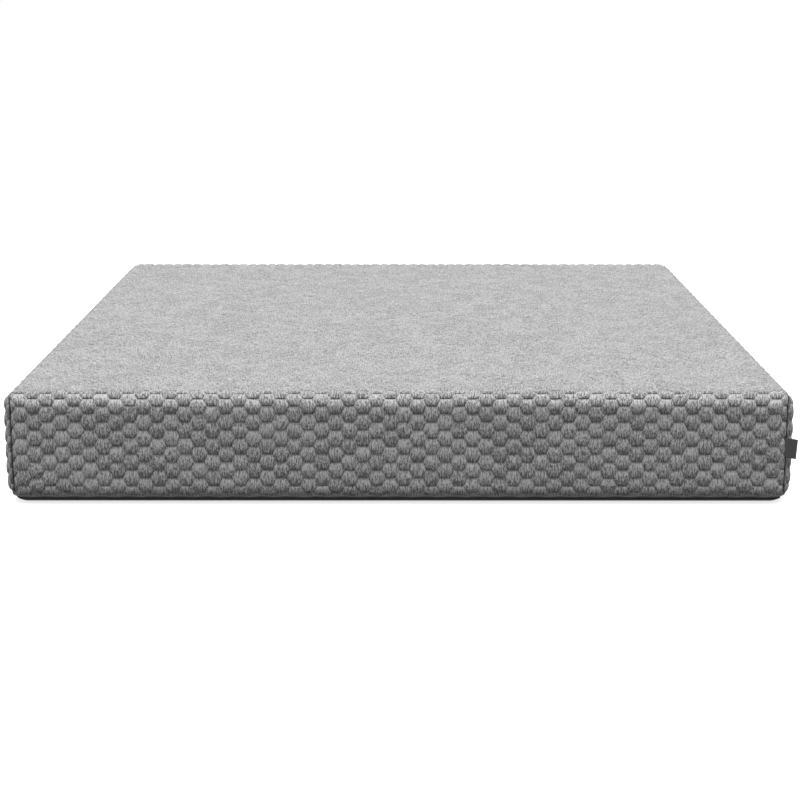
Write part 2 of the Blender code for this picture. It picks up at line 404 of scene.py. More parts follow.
@dataclass(frozen=True)
class EndToEndPanel:
    """The long panel: from the foot's hem up, over the top and down the head end to its hem.

    u runs across the bed and v along the cloth, from 0 at the foot's hem.
    """

    bed: Bed
    nodes: tuple[str, ...] = ("top_cover_panel", "top_quilt_wadding", "top_quilt_backing")
    half_cut: float = 948 * MM
    head_trim: float = 1.9 * MM
    wall_relief: float = 5.2 * MM
    top_relief: float = 1.8 * MM
    upright_past_edge: float = 36 * MM
    level_past_edge: float = 34 * MM
    flatter_over: float = 60 * MM

    @property
    def wall_start(self) -> float:
        """Where the straight wall begins."""
        return self.bed.hem_length

    @property
    def edge_start(self) -> float:
        """Where the wall starts to turn over."""
        return self.wall_start + self.bed.shoulder - self.bed.hem_radius

    @property
    def top_start(self) -> float:
        """Where the flat of the top begins."""
        return self.edge_start + self.bed.top_radius * QUARTER

    @property
    def length(self) -> float:
        """The whole length of the cloth."""
        return 2 * (self.top_start + self.bed.half_length - self.bed.top_radius)

    def outline(self) -> Array:
        """The cut is a plain rectangle, a little short at the head to leave the zip's slider bare."""
        half, end = self.half_cut, self.length - self.head_trim
        return np.array([(-half, 0.0), (half, 0.0), (half, end), (-half, end)])

    def above_hem(self, v: Array) -> Array:
        """The cloth between there and the nearer hem."""
        return np.minimum(v, self.length - v)

    def rise(self, u: Array, v: Array) -> Array:
        """1 up the foot end, 0 on top and -1 down the head end.

        Args:
            u: distances across the cloth.
            v: distances along it.

        Returns:
            How steeply +v climbs at each point.
        """
        start = self.edge_start + self.upright_past_edge
        level = smoothstep(start, self.top_start + self.level_past_edge, self.above_hem(v))
        return (1 - level) * np.where(v < self.length / 2, 1, -1)

    def relief(self, u: Array, v: Array) -> Array:
        """Full cells on the walls, and flatter ones where the bed is lain on.

        Args:
            u: distances across the cloth.
            v: distances along it.

        Returns:
            How far a cell stands up at each point.
        """
        top = smoothstep(self.top_start, self.top_start + self.flatter_over, self.above_hem(v))
        return self.wall_relief + (self.top_relief - self.wall_relief) * top

    def surface(self, u: Array, v: Array) -> Array:
        """Bends the cloth over the ends and down at the two seams.

        Args:
            u: distances across the cloth from its middle.
            v: distances along the cloth from the foot's hem.

        Returns:
            Rows of x, y, z on the bed.
        """
        bed = self.bed
        near = self.above_hem(v)
        lean = bed.hem_angle + np.minimum(near, self.wall_start) / bed.hem_radius
        turn = np.clip((near - self.edge_start) / bed.top_radius, 0, QUARTER)
        run = np.maximum(near - self.top_start, 0)
        climb = np.clip(near - self.wall_start, 0, bed.shoulder - bed.hem_radius)
        girth = bed.hem_radius * np.sin(lean)
        base = bed.hem_radius * (1 - np.cos(lean)) + climb
        half_top = bed.half_length - bed.top_radius
        flat = (half_top - run) / half_top
        turned = near > self.edge_start

        over_edge = half_top * flat + bed.top_radius * np.cos(turn)
        middle_y = np.where(turned, over_edge, bed.corner_y + girth)
        middle_z = base + bed.top_radius * np.sin(turn)
        bow = np.sqrt(np.maximum(girth**2 - (bed.plan_radius - bed.corner_inset) ** 2, 0))
        seam_y = np.where(turned, bed.corner_y * flat + bed.seam_bow * np.cos(turn), bed.corner_y + bow)
        seam_z = base + bed.seam_rise * np.sin(turn)

        share = np.clip(turn / QUARTER, 0, 1)
        radius = np.where(turned, bed.plan_radius + (bed.top_radius - bed.plan_radius) * share, girth)
        level = bed.half_width - radius
        seam_x = bed.seam_x + (bed.corner_inset - bed.edge_inset) * np.sin(turn) ** 2
        bend = np.arcsin((seam_x - level) / radius)
        reach = np.abs(u) / self.half_cut * (level + radius * bend)
        angle = np.maximum(reach - level, 0) / radius
        x = np.sign(u) * (np.minimum(reach, level) + radius * np.sin(angle))
        drop = (1 - np.cos(angle)) / (1 - np.cos(bend))
        y = middle_y + (seam_y - middle_y) * drop
        z = middle_z + (seam_z - middle_z) * drop
        return np.column_stack([x, np.where(v < self.length / 2, -y, y), z])


@dataclass(frozen=True)
class SidePanel:
    """The panel on one long side, a rectangle with rounded top corners.

    u runs towards the head on the right side and towards the foot on the left; v runs up, from the floor.
    """

    bed: Bed
    side: int
    wall_relief: float = 4.6 * MM
    outline_steps: int = 8

    @property
    def name(self) -> str:
        """The side's name."""
        return "right_side" if self.side > 0 else "left_side"

    @property
    def nodes(self) -> tuple[str, ...]:
        """The CAD layers that the panel stands for."""
        side = "right" if self.side > 0 else "left"
        return f"{side}_cover_panel", f"{side}_quilt_wadding", f"{side}_quilt_backing"

    def outline(self) -> Array:
        """The seam line, unrolled: up the foot corner, along the top, down the head corner and the hem.

        Returns:
            Its points, anticlockwise.
        """
        bed = self.bed
        lean = np.linspace(bed.hem_angle, QUARTER, self.outline_steps)
        girth = bed.hem_radius * np.sin(lean)
        bow = np.sqrt(girth**2 - (bed.plan_radius - bed.corner_inset) ** 2)
        low = np.column_stack([
            bed.corner_y + bed.plan_radius * np.arcsin(bow / bed.plan_radius),
            bed.hem_radius * (1 - (QUARTER - lean)),
        ])
        turn = np.linspace(0, QUARTER, 2 * self.outline_steps)
        high = np.column_stack([
            bed.corner_y + bed.plan_radius * np.arcsin(bed.seam_bow / bed.plan_radius * np.cos(turn)),
            bed.shoulder + bed.top_radius * np.arcsin(bed.seam_rise / bed.top_radius * np.sin(turn)),
        ])
        right = np.vstack([low, high])
        return np.vstack([right, right[::-1] * (-1, 1)])

    def above_hem(self, v: Array) -> Array:
        """The cloth between there and the hem."""
        return v - (self.bed.hem_radius - self.bed.hem_length)

    def rise(self, u: Array, v: Array) -> Array:
        """The whole panel stands upright."""
        return np.ones_like(v)

    def relief(self, u: Array, v: Array) -> Array:
        """Full cells all over."""
        return np.full_like(v, self.wall_relief)

    def surface(self, u: Array, v: Array) -> Array:
        """Bends the cloth round the upright corners, over at the top and under at the hem.

        Args:
            u: distances along the cloth from its middle.
            v: unrolled heights.

        Returns:
            Rows of x, y, z on the bed.
        """
        bed = self.bed
        beyond = np.maximum(np.abs(u) - bed.corner_y, 0) / bed.plan_radius
        bow = bed.plan_radius * np.sin(beyond)
        y = np.sign(u) * (np.minimum(np.abs(u), bed.corner_y) + bow)
        lean = QUARTER - np.maximum(bed.hem_radius - v, 0) / bed.hem_radius
        girth = bed.hem_radius * np.sin(lean)
        turn = np.maximum(v - bed.shoulder, 0) / bed.top_radius
        lift = bed.top_radius * np.sin(turn)
        curled = bed.hem_radius * (1 - np.cos(lean))
        z = np.where(v < bed.hem_radius, curled, np.minimum(v, bed.shoulder) + lift)
        x_wall = bed.corner_x + np.sqrt(np.maximum(girth**2 - bow**2, TINY))
        along, up = bow / bed.seam_bow, lift / bed.seam_rise
        reach = along**2 + up**2
        share = up**2 / np.maximum(reach, TINY)
        plan_fall = np.maximum(bed.plan_radius**2 - bed.seam_bow**2 * reach, TINY)
        top_fall = np.maximum(bed.top_radius**2 - bed.seam_rise**2 * reach, TINY)
        round_corner = bed.corner_x + np.sqrt(plan_fall)
        round_top = bed.half_width - bed.top_radius + np.sqrt(top_fall)
        x = np.where(v > bed.shoulder, round_corner + (round_top - round_corner) * share, x_wall)
        return np.column_stack([self.side * x, self.side * y, z])


# ---------------------------------------------------------------- quilting


@dataclass(frozen=True)
class Grain:
    """How finely a stretch of quilting is drawn."""

    edge_steps: int
    rings: tuple[float, ...]
    lining_step: int = 2

    @property
    def around(self) -> int:
        """The points round a whole cell's edge."""
        return 6 * self.edge_steps


FINE = Grain(4, (1.0, 0.95, 0.85, 0.70, 0.50, 0.25))
PLAIN = Grain(2, (1.0, 0.85, 0.50))


@dataclass(frozen=True)
class Honeycomb:
    """The quilting's lattice of flat-topped cells, wider than high, slightly uneven as knitting is.

    A drift is the waves that shift the cells' corners: radians to the metre across and up, and a phase.
    """

    column: float = 33.27 * MM
    row: float = 40.24 * MM
    origin: tuple[float, float] = (13.3 * MM, 170.6 * MM)
    wander: float = 0.9 * MM
    drift_across: tuple[Wave, ...] = ((61, 97, 0), (173, -41, 2))
    drift_up: tuple[Wave, ...] = ((89, -67, 1), (37, 149, 4))

    @property
    def corners(self) -> Array:
        """One cell's six corners round its middle, anticlockwise."""
        far, near, high = self.column * 2 / 3, self.column / 3, self.row / 2
        return np.array([(far, 0), (near, high), (-near, high), (-far, 0), (-near, -high), (near, -high)])

    @property
    def apothem(self) -> float:
        """Twice the area over the girth, which tells a whole cell from a sliver."""
        return inner_reach(self.corners)

    def place_of(self, i: Array, j: Array) -> Array:
        """The middle of each numbered cell; every other column lies half a row lower."""
        shifted = j - 0.5 * (i % 2)
        return np.stack([self.origin[0] + i * self.column, self.origin[1] + shifted * self.row], axis=-1)

    def middles(self, low: Array, high: Array) -> tuple[Array, Array]:
        """Every cell that may touch a box.

        Args:
            low: the box's lowest corner.
            high: the box's highest corner.

        Returns:
            The cells' middles, and their column and row numbers.
        """
        first = np.floor((low - self.origin) / (self.column, self.row)).astype(int) - 1
        last = np.ceil((high - self.origin) / (self.column, self.row)).astype(int) + 1
        i, j = np.meshgrid(np.arange(first[0], last[0] + 1), np.arange(first[1], last[1] + 1))
        i, j = i.ravel(), j.ravel()
        return self.place_of(i, j), np.column_stack([i, j])

    def wandered(self, points: Array) -> Array:
        """Shifts corners a little, the same for every cell that meets at one.

        Args:
            points: places on the cloth, two numbers each.

        Returns:
            The shifted places.
        """
        across = rippled(points, self.drift_across)
        up = rippled(points, self.drift_up)
        return points + np.stack([across, up], axis=-1) * self.wander / 2


def rippled(points: Array, waves: tuple[Wave, ...]) -> Array:
    """Adds up sine waves that run across the cloth.

    Args:
        points: places on the cloth, two numbers each.
        waves: each wave's radians to the metre across and up the cloth, and its phase.

    Returns:
        The sum at each place.
    """
    return sum(np.sin(points[..., 0] * across + points[..., 1] * up + phase) for across, up, phase in waves)


def inner_reach(polygon: Array) -> float:
    """Twice a polygon's area over its girth.

    Args:
        polygon: corners, anticlockwise.

    Returns:
        That length: the radius of the circle that fits in, if it touches every side.
    """
    after = np.roll(polygon, -1, axis=0)
    doubled = float((polygon[:, 0] * after[:, 1] - polygon[:, 1] * after[:, 0]).sum())
    return doubled / float(np.linalg.norm(after - polygon, axis=1).sum())


def edge_lines(outline: Array) -> Lines:
    """A convex outline's edges as lines.

    Args:
        outline: corners, anticlockwise.

    Returns:
        The normals, which point inwards, and each line's offset.
    """
    step = np.roll(outline, -1, axis=0) - outline
    normal = unit(np.column_stack([-step[:, 1], step[:, 0]]))
    return normal, (normal * outline).sum(axis=1)


def inside_by(points: Array, lines: Lines) -> Array:
    """How far points lie inside each line, with one more axis for the lines."""
    return points @ lines[0].T - lines[1]


def clipped(polygon: Array, lines: Lines) -> Array:
    """Cuts a convex polygon by lines.

    Args:
        polygon: corners, anticlockwise.
        lines: from edge_lines.

    Returns:
        The corners of what is left, or an empty array.
    """
    nothing = np.empty((0, 2))
    for normal, offset in zip(*lines):
        side = polygon @ normal - offset
        if (side >= -1e-9).all():
            continue
        kept = []
        for k, here in enumerate(side):
            after = (k + 1) % len(polygon)
            if here >= 0:
                kept.append(polygon[k])
            if here * side[after] < 0:
                kept.append(polygon[k] + (polygon[after] - polygon[k]) * here / (here - side[after]))
        if len(kept) < 3:
            return nothing
        polygon = np.array(kept)
    apart = np.linalg.norm(np.roll(polygon, -1, axis=0) - polygon, axis=1) > SAME_POINT
    return polygon[apart] if apart.sum() >= 3 else nothing


def subdivided(corners: Array, steps: int) -> Array:
    """Adds points along each edge of one polygon or of a stack of them.

    Args:
        corners: the polygon's corners, or polygons by corners by 2.
        steps: how many parts each edge gets.

    Returns:
        The corners and the points between them.
    """
    after = np.roll(corners, -1, axis=-2)
    share = np.arange(steps) / steps
    points = corners[..., :, None, :] + (after - corners)[..., :, None, :] * share[:, None]
    return points.reshape(*corners.shape[:-2], -1, 2)


def ring_points(edges: Array, middles: Array, grain: Grain, rounded: bool) -> Array:
    """Draws each cell's edge in towards its middle, growing rounder on the way.

    Args:
        edges: cells by edge points by 2.
        middles: cells by 2.
        grain: the rings to draw.
        rounded: whether inner rings turn into circles.

    Returns:
        Cells by points by 2: the rings from the edge in, and last the middle.
    """
    arms = edges - middles[:, None]
    length = np.linalg.norm(arms, axis=2, keepdims=True)
    circle = arms / np.maximum(length, TINY) * length.mean(axis=1, keepdims=True)
    rows = []
    for share in grain.rings:
        blend = (1 - share**2) if rounded else 0.0
        rows.append(middles[:, None] + share * (arms + (circle - arms) * blend))
    rows.append(middles[:, None])
    return np.concatenate(rows, axis=1)


def ring_faces(count: int, rings: int) -> list[tuple[int, ...]]:
    """The faces between a cell's rings, and the fan at its middle.

    Args:
        count: the points in each ring.
        rings: how many rings there are.

    Returns:
        The faces of one cell.
    """
    turns = [(k, (k + 1) % count) for k in range(count)]
    starts = [ring * count for ring in range(rings)]
    faces = [(at + a, at + b, at + count + b, at + count + a) for at in starts[:-1] for a, b in turns]
    return faces + [(starts[-1] + a, starts[-1] + b, rings * count) for a, b in turns]


# A light cloth that stretches easily, so that the pressure inside rounds it
CLOTH_SETTINGS = {
    "quality": 6,
    "mass": 0.3,
    "tension_stiffness": 8,
    "compression_stiffness": 4,
    "shear_stiffness": 4,
    "bending_stiffness": 0.5,
    "use_pressure": True,
}


@dataclass(frozen=True)
class StuffedCell:
    """The shape one cell takes when its wadding swells against the stitching round it.

    A flat hexagon of cloth is pinned by its edge and blown up in a cloth simulation. For the walls, where
    the stuffing sinks, a rule then moves its crest down. It is simulated at 20 times its size, at which the
    cloth is steady.
    """

    comb: Honeycomb
    hung: bool
    scale: float = 20.0
    frames: int = 20
    pressure: float = 4.0
    fullness: float = 0.72
    slump: float = 0.30
    sag: float = 0.30
    drawn_flat: float = 2.6
    drawn_full: float = 0.75
    least_height: float = 1e-3

    def flat(self) -> Array:
        """The cell's points, ring by ring and then its middle, across a flat hexagon."""
        edge = subdivided(self.comb.corners, FINE.edge_steps)
        return ring_points(edge[None], np.zeros((1, 2)), FINE, True)[0]

    def swell(self) -> Array:
        """Simulates the cell, or draws it by rule if the simulation gives nothing usable.

        Returns:
            How high each point stands, from 0 at the stitching to 1 at the highest.
        """
        points = self.flat() * self.scale
        height = self.simulated(points)
        if height.max() < self.least_height or not np.isfinite(height).all():
            height = self.drawn()
        height /= height.max()
        if not self.hung:
            return height**self.fullness
        up = points[:, 1] / points[:, 1].max()
        height = height ** (self.fullness + self.slump * up) * (1 - self.sag * up)
        return height / height.max()

    def simulated(self, points: Array) -> Array:
        """Blows the hexagon up.

        Args:
            points: its points, at the simulation's scale.

        Returns:
            How high each point stands.
        """
        count = FINE.around
        start = np.column_stack([points, np.zeros(len(points))])
        pad = make_object("stuffed_cell", start, ring_faces(count, len(FINE.rings)))
        pinned = pad.vertex_groups.new(name="stitching")
        pinned.add(list(range(count)), 1.0, "REPLACE")
        cloth = pad.modifiers.new("Cloth", "CLOTH").settings
        for key, value in CLOTH_SETTINGS.items():
            setattr(cloth, key, value)
        cloth.vertex_group_mass = pinned.name
        cloth.uniform_pressure_force = self.pressure
        cloth.effector_weights.gravity = 0.0
        scene = bpy.context.scene
        for frame in range(1, self.frames + 1):
            scene.frame_set(frame)
        evaluated = pad.evaluated_get(bpy.context.evaluated_depsgraph_get())
        swollen = np.array([vertex.co for vertex in evaluated.data.vertices])
        scene.frame_set(1)
        bpy.data.objects.remove(pad, do_unlink=True)
        return np.abs(swollen[:, 2])

    def drawn(self) -> Array:
        """The same swelling, drawn by rule."""
        inward = np.append(np.repeat(FINE.rings, FINE.around), 0.0)
        return (1 - inward**self.drawn_flat) ** self.drawn_full


@dataclass
class Cells:
    """The points and faces of some cells, and what their height and their finish depend on.

    flat is where each point lies on the cloth; height is how high the simulated cell stands there, hung and
    level; fill is the cell's share of a full stuffing; tone is the cell's own tone, from 0 to 1; and up is
    the point's place in its cell, from -1 at the bottom to 1 at the top. A face is a row of four point
    numbers, the last of them -1 in a triangle.
    """

    flat: Array
    height: Array
    fill: Array
    tone: Array
    up: Array
    faces: Array

    @classmethod
    def joined(cls, parts: list[Cells]) -> Cells:
        """Joins cells, and numbers their points anew.

        Args:
            parts: the cells, in order.

        Returns:
            All of them as one.
        """
        starts = np.cumsum([0] + [len(part.flat) for part in parts])
        faces = [np.where(part.faces < 0, -1, part.faces + at) for part, at in zip(parts, starts)]
        known = ("flat", "height", "fill", "tone", "up")
        values = [np.concatenate([getattr(part, name) for part in parts]) for name in known]
        return cls(*values, np.vstack(faces))


def padded_rows(faces: list[tuple[int, ...]]) -> Array:
    """Faces as rows of four numbers, with -1 after a triangle's three."""
    return np.array([face + (-1,) * (4 - len(face)) for face in faces])


@dataclass(frozen=True)
class Shading:
    """What the knit's finish is told at each point, with painted shade and painted light on top of the light
    that falls there.
    """

    edge: float = 0.3
    # Painted shadow along each cell's lower edge: where it starts and where it is full, in the cell's height
    # from -1 to 1, and how fast it fades as the cloth comes level
    shadow_from: float = -0.5
    shadow_full: float = -0.95
    upright_only: int = 4
    # Painted light that grows up each cell, and a painted highlight along its upper edges
    slope_light: float = 0.5
    edge_light: float = 1.4
    light_from: float = -0.6
    light_full: float = 0.4
    # A painted dark line of shade along the panel's seams
    seam_width: float = 2.6 * MM
    painted_seam_weight: float = 1.9
    seam_above_hem: float = 12 * MM

    def of(self, panel: Panel, cells: Cells, lines: Lines) -> dict[str, Array]:
        """Works the values out.

        Args:
            panel: the cloth.
            cells: the points on it.
            lines: the panel's edges.

        Returns:
            The tone; the share free of painted shade, 1 on a cell, down to 0 in the painted shadow along a
            cell's lower edge and below 0 in the painted shade of a seam; the painted light, which grows up
            each cell and is most at its upper edge; and how level it lies.
        """
        flat = cells.flat
        rise = panel.rise(flat[:, 0], flat[:, 1])
        up = cells.up * np.sign(rise)
        edge = 1 - np.minimum(cells.height[:, 1] / self.edge, 1)
        # Painted shadow along each cell's lower edge, gone where the cloth lies level
        shadow = edge * smoothstep(self.shadow_from, self.shadow_full, up) * rise**self.upright_only
        # Painted light: lighter up each cell, and a painted highlight along its upper edges
        upper = edge * smoothstep(self.light_from, self.light_full, up)
        lit = np.abs(rise) * (self.slope_light * up + self.edge_light * upper)
        # Painted shade in a dark line along each seam, clear of the hem
        margin = np.maximum(inside_by(flat, lines).min(axis=1), 0)
        seam = np.exp(-margin / self.seam_width)
        seam *= smoothstep(0, self.seam_above_hem, panel.above_hem(flat[:, 1]))
        # 1 where nothing is painted, 0 in the painted shadow, below 0 in the painted seam shade
        depth = 1 - shadow - self.painted_seam_weight * seam
        return {"tone": cells.tone, "depth": depth, "lit": lit, "lie": 1 - np.abs(rise)}


@dataclass
class Quilter:
    """Quilts a panel: lays the honeycomb on it, cuts it to the panel's outline and stuffs each cell."""

    comb: Honeycomb
    hung: Array
    level: Array
    whole_margin: float = 0.4 * MM
    sliver: float = 0.6 * MM
    least_fill: float = 0.90
    fill_spread: float = 0.20
    cut_fill: float = 0.8
    wall_crest: float = 2.0 * MM
    top_crest: float = 0.2 * MM
    pinch: float = 5.0 * MM
    pinch_width: float = 3.2 * MM
    hem_pinch: float = 0.2
    hem_ease: float = 14 * MM
    tape_depth: float = 2.0 * MM
    tape_span: tuple[float, float] = (9 * MM, 17 * MM)
    past_tape: float = 8 * MM
    lining: float = 9.5 * MM
    rim_start: float = 7.0 * MM
    wrinkle: float = 0.09 * MM
    slack: float = 0.5 * MM
    bulge: float = 1.6 * MM
    bulge_start: float = -0.8 * MM
    bulge_middle: float = 115 * MM
    bulge_reach: float = 120 * MM
    normal_step: float = 0.4 * MM

    def quilt(self, panel: Panel, name: str, grain: Grain,
              keep: Callable[[Array], Array]) -> bpy.types.Object:
        """Makes one stretch of a panel.

        Args:
            panel: the cloth.
            name: the piece's name.
            grain: how finely it is drawn.
            keep: says from the cells' middles which belong to this stretch.

        Returns:
            The quilted piece, with a UV map in metres and its finish's values as attributes, painted shade
            and painted light among them.
        """
        outline = panel.outline()
        lines = edge_lines(outline)
        middles, numbers = self.comb.middles(outline.min(axis=0), outline.max(axis=0))
        chosen = keep(middles)
        middles, numbers = middles[chosen], numbers[chosen]
        corners = self.comb.wandered(middles[:, None] + self.comb.corners)
        whole = (inside_by(corners, lines) > self.whole_margin).all(axis=(1, 2))
        edges = subdivided(corners[whole], grain.edge_steps)
        parts = [self.whole_cells(edges, corners[whole].mean(axis=1), numbers[whole], grain)]
        backs = list(edges[:, :: grain.lining_step])
        rims = []
        for polygon, number in zip(corners[~whole], numbers[~whole]):
            polygon = clipped(polygon, lines)
            if len(polygon) == 0 or inner_reach(polygon) < self.sliver:
                continue
            edge = subdivided(polygon, grain.edge_steps)
            fill = min(1.0, inner_reach(polygon) / self.comb.apothem) ** self.cut_fill
            parts.append(self.cut_cell(edge, number, fill, grain))
            backs.append(edge[:: grain.lining_step])
            rims += self.rim_of(edge, lines)
        cells = Cells.joined(parts)
        rise = self.rise_of(panel, cells, lines)
        points = self.raised(panel, cells.flat, rise)
        piece = self.assemble(panel, name, cells, points, backs, rims)
        for key, value in Shading().of(panel, cells, lines).items():
            layer = piece.data.attributes.new(key, "FLOAT", "POINT")
            every = np.zeros(len(piece.data.vertices), dtype=np.float32)
            every[: len(value)] = value
            layer.data.foreach_set("value", every)
        return piece

    def whole_cells(self, edges: Array, middles: Array, numbers: Array, grain: Grain) -> Cells:
        """Draws every whole cell at once.

        Args:
            edges: cells by edge points by 2.
            middles: cells by 2.
            numbers: the cells' column and row numbers.
            grain: how finely they are drawn.

        Returns:
            The cells.
        """
        points = ring_points(edges, middles, grain, True)
        count, per_cell = points.shape[:2]
        one = padded_rows(ring_faces(edges.shape[1], len(grain.rings)))
        starts = np.arange(count)[:, None, None] * per_cell
        i, j = numbers[:, 0], numbers[:, 1]
        return Cells(
            flat=points.reshape(-1, 2),
            height=np.tile(self.profile(grain), (count, 1)),
            fill=np.repeat(self.least_fill + self.fill_spread * hashed(i, j, 3), per_cell),
            tone=np.repeat(hashed(i, j, 1), per_cell),
            up=((points[..., 1] - middles[:, None, 1]) / (self.comb.row / 2)).ravel(),
            faces=np.where(one < 0, -1, one + starts).reshape(-1, 4),
        )

    def profile(self, grain: Grain) -> Array:
        """The simulated heights at this grain's points.

        Args:
            grain: which rings are drawn, and how finely.

        Returns:
            Two columns, hung and level.
        """
        around = np.arange(0, FINE.around, FINE.edge_steps // grain.edge_steps)
        rings = [FINE.rings.index(ring) * FINE.around + around for ring in grain.rings]
        chosen = np.append(np.concatenate(rings), len(FINE.rings) * FINE.around)
        return np.column_stack([self.hung[chosen], self.level[chosen]])

    def cut_cell(self, edge: Array, number: Array, fill: float, grain: Grain) -> Cells:
        """Draws one cell that the panel's edge cuts through.

        Args:
            edge: the edge of what is left of it.
            number: its column and row numbers.
            fill: its share of a full cell's stuffing.
            grain: how finely it is drawn.

        Returns:
            The cell, with each ring at one height.
        """
        points = ring_points(edge[None], edge.mean(axis=0)[None], grain, False)[0]
        profile = self.profile(grain)
        rings = profile[:-1].reshape(len(grain.rings), -1, 2).mean(axis=1)
        middle = self.comb.place_of(number[0], number[1])
        return Cells(
            flat=points,
            height=np.vstack([np.repeat(rings, len(edge), axis=0), profile[-1:]]),
            fill=np.full(len(points), fill),
            tone=np.full(len(points), hashed(number[0], number[1], 1)),
            up=(points[:, 1] - middle[1]) / (self.comb.row / 2),
            faces=padded_rows(ring_faces(len(edge), len(grain.rings))),
        )

    def rise_of(self, panel: Panel, cells: Cells, lines: Lines) -> Array:
        """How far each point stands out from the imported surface.

        Args:
            panel: the cloth.
            cells: the points on it.
            lines: the panel's edges.

        Returns:
            One distance for each point.
        """
        u, v = cells.flat[:, 0], cells.flat[:, 1]
        steep = np.abs(panel.rise(u, v))
        hung, level = cells.height.T
        height = level + (hung - level) * steep
        relief = panel.relief(u, v)
        stitched = self.top_crest + (self.wall_crest - self.top_crest) * steep - relief
        above = panel.above_hem(v)
        margin = inside_by(cells.flat, lines).min(axis=1)
        edge = np.exp(-np.maximum(margin, 0) / self.pinch_width)
        edge *= self.hem_pinch + (1 - self.hem_pinch) * smoothstep(0, self.hem_ease, above)
        total = relief * cells.fill * height + stitched - self.pinch * edge
        total += self.wrinkle * self.creases(u, v) * height
        total += self.slack * self.slackness(u, v) * (1 - steep) + self.swelling(panel, cells.flat) * steep
        return np.maximum(total, -self.tape_depth - self.past_tape * smoothstep(*self.tape_span, above))

    @staticmethod
    def creases(u: Array, v: Array) -> Array:
        """Wandering creases 15 to 30 mm apart, each wave bent by a slower one."""
        crossing = np.sin(u * 410 + 3 * np.sin(v * 120)) * np.sin(v * 230 + 2 * np.sin(u * 170 + 1))
        return crossing + np.sin(u * 190 - v * 330 + 2 * np.sin(u * 90))

    @staticmethod
    def slackness(u: Array, v: Array) -> Array:
        """Broad soft hollows where the top lies loose, 0.3 to 0.8 m apart."""
        return np.sin(u * 9 + 1) * np.sin(v * 8) + 0.6 * np.sin(u * 21 + v * 17)

    def swelling(self, panel: Panel, flat: Array) -> Array:
        """The foam's own bulge at the middle of each wall's height.

        Args:
            panel: the cloth.
            flat: points on it.

        Returns:
            How far the wall stands out there.
        """
        z = panel.surface(flat[:, 0], flat[:, 1])[:, 2]
        middle = np.clip(1 - np.abs(z - self.bulge_middle) / self.bulge_reach, 0, 1)
        return self.bulge * smoothstep(0, 1, middle) + self.bulge_start

    def raised(self, panel: Panel, flat: Array, rise: Array) -> Array:
        """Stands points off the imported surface, along the cloth's outward normal.

        Args:
            panel: the cloth.
            flat: points on it.
            rise: how far out each goes.

        Returns:
            Rows of x, y, z.
        """
        step = self.normal_step
        u, v = flat[:, 0], flat[:, 1]
        along = panel.surface(u + step, v) - panel.surface(u - step, v)
        across = panel.surface(u, v + step) - panel.surface(u, v - step)
        return panel.surface(u, v) + unit(np.cross(along, across)) * rise[:, None]

    @staticmethod
    def rim_of(edge: Array, lines: Lines) -> list[Array]:
        """The stretches of a cut cell's edge that lie on the panel's own edge.

        Args:
            edge: the cell's edge points.
            lines: the panel's edges.

        Returns:
            Pairs of points.
        """
        after = np.roll(edge, -1, axis=0)
        on_edge = np.abs(inside_by(edge, lines)).min(axis=1) < ON_EDGE
        return [np.array([a, b]) for a, b, both in zip(edge, after, on_edge & np.roll(on_edge, -1)) if both]

    def assemble(self, panel: Panel, name: str, cells: Cells, points: Array,
                 backs: list[Array], rims: list[Array]) -> bpy.types.Object:
        """Joins the cells, their lining and the turned-in rim into one mesh.

        Args:
            panel: the cloth.
            name: the piece's name.
            cells: the cells.
            points: where their points lie on the bed.
            backs: the lining's loops.
            rims: the rim's stretches.

        Returns:
            The piece, whose first points are the cells'.
        """
        triangle = cells.faces[:, 3] < 0
        faces = cells.faces[~triangle].tolist() + cells.faces[triangle, :3].tolist()
        at = len(points)
        flats, depths = [], []
        for stretch in rims:
            flats.append(np.vstack([stretch, stretch]))
            depths += [self.rim_start] * 2 + [self.lining] * 2
            faces.append([at + 1, at, at + 2, at + 3])
            at += 4
        for loop in backs:
            flats.append(loop)
            depths += [self.lining] * len(loop)
            faces.append(list(range(at + len(loop) - 1, at - 1, -1)))
            at += len(loop)
        inside = np.vstack(flats)
        behind = self.raised(panel, inside, -np.array(depths))
        flat = np.vstack([cells.flat, inside])
        corners = np.array([corner for face in faces for corner in face])
        return make_object(name, np.vstack([points, behind]), faces, flat[corners])


# ---------------------------------------------------------------- the hem and the zip


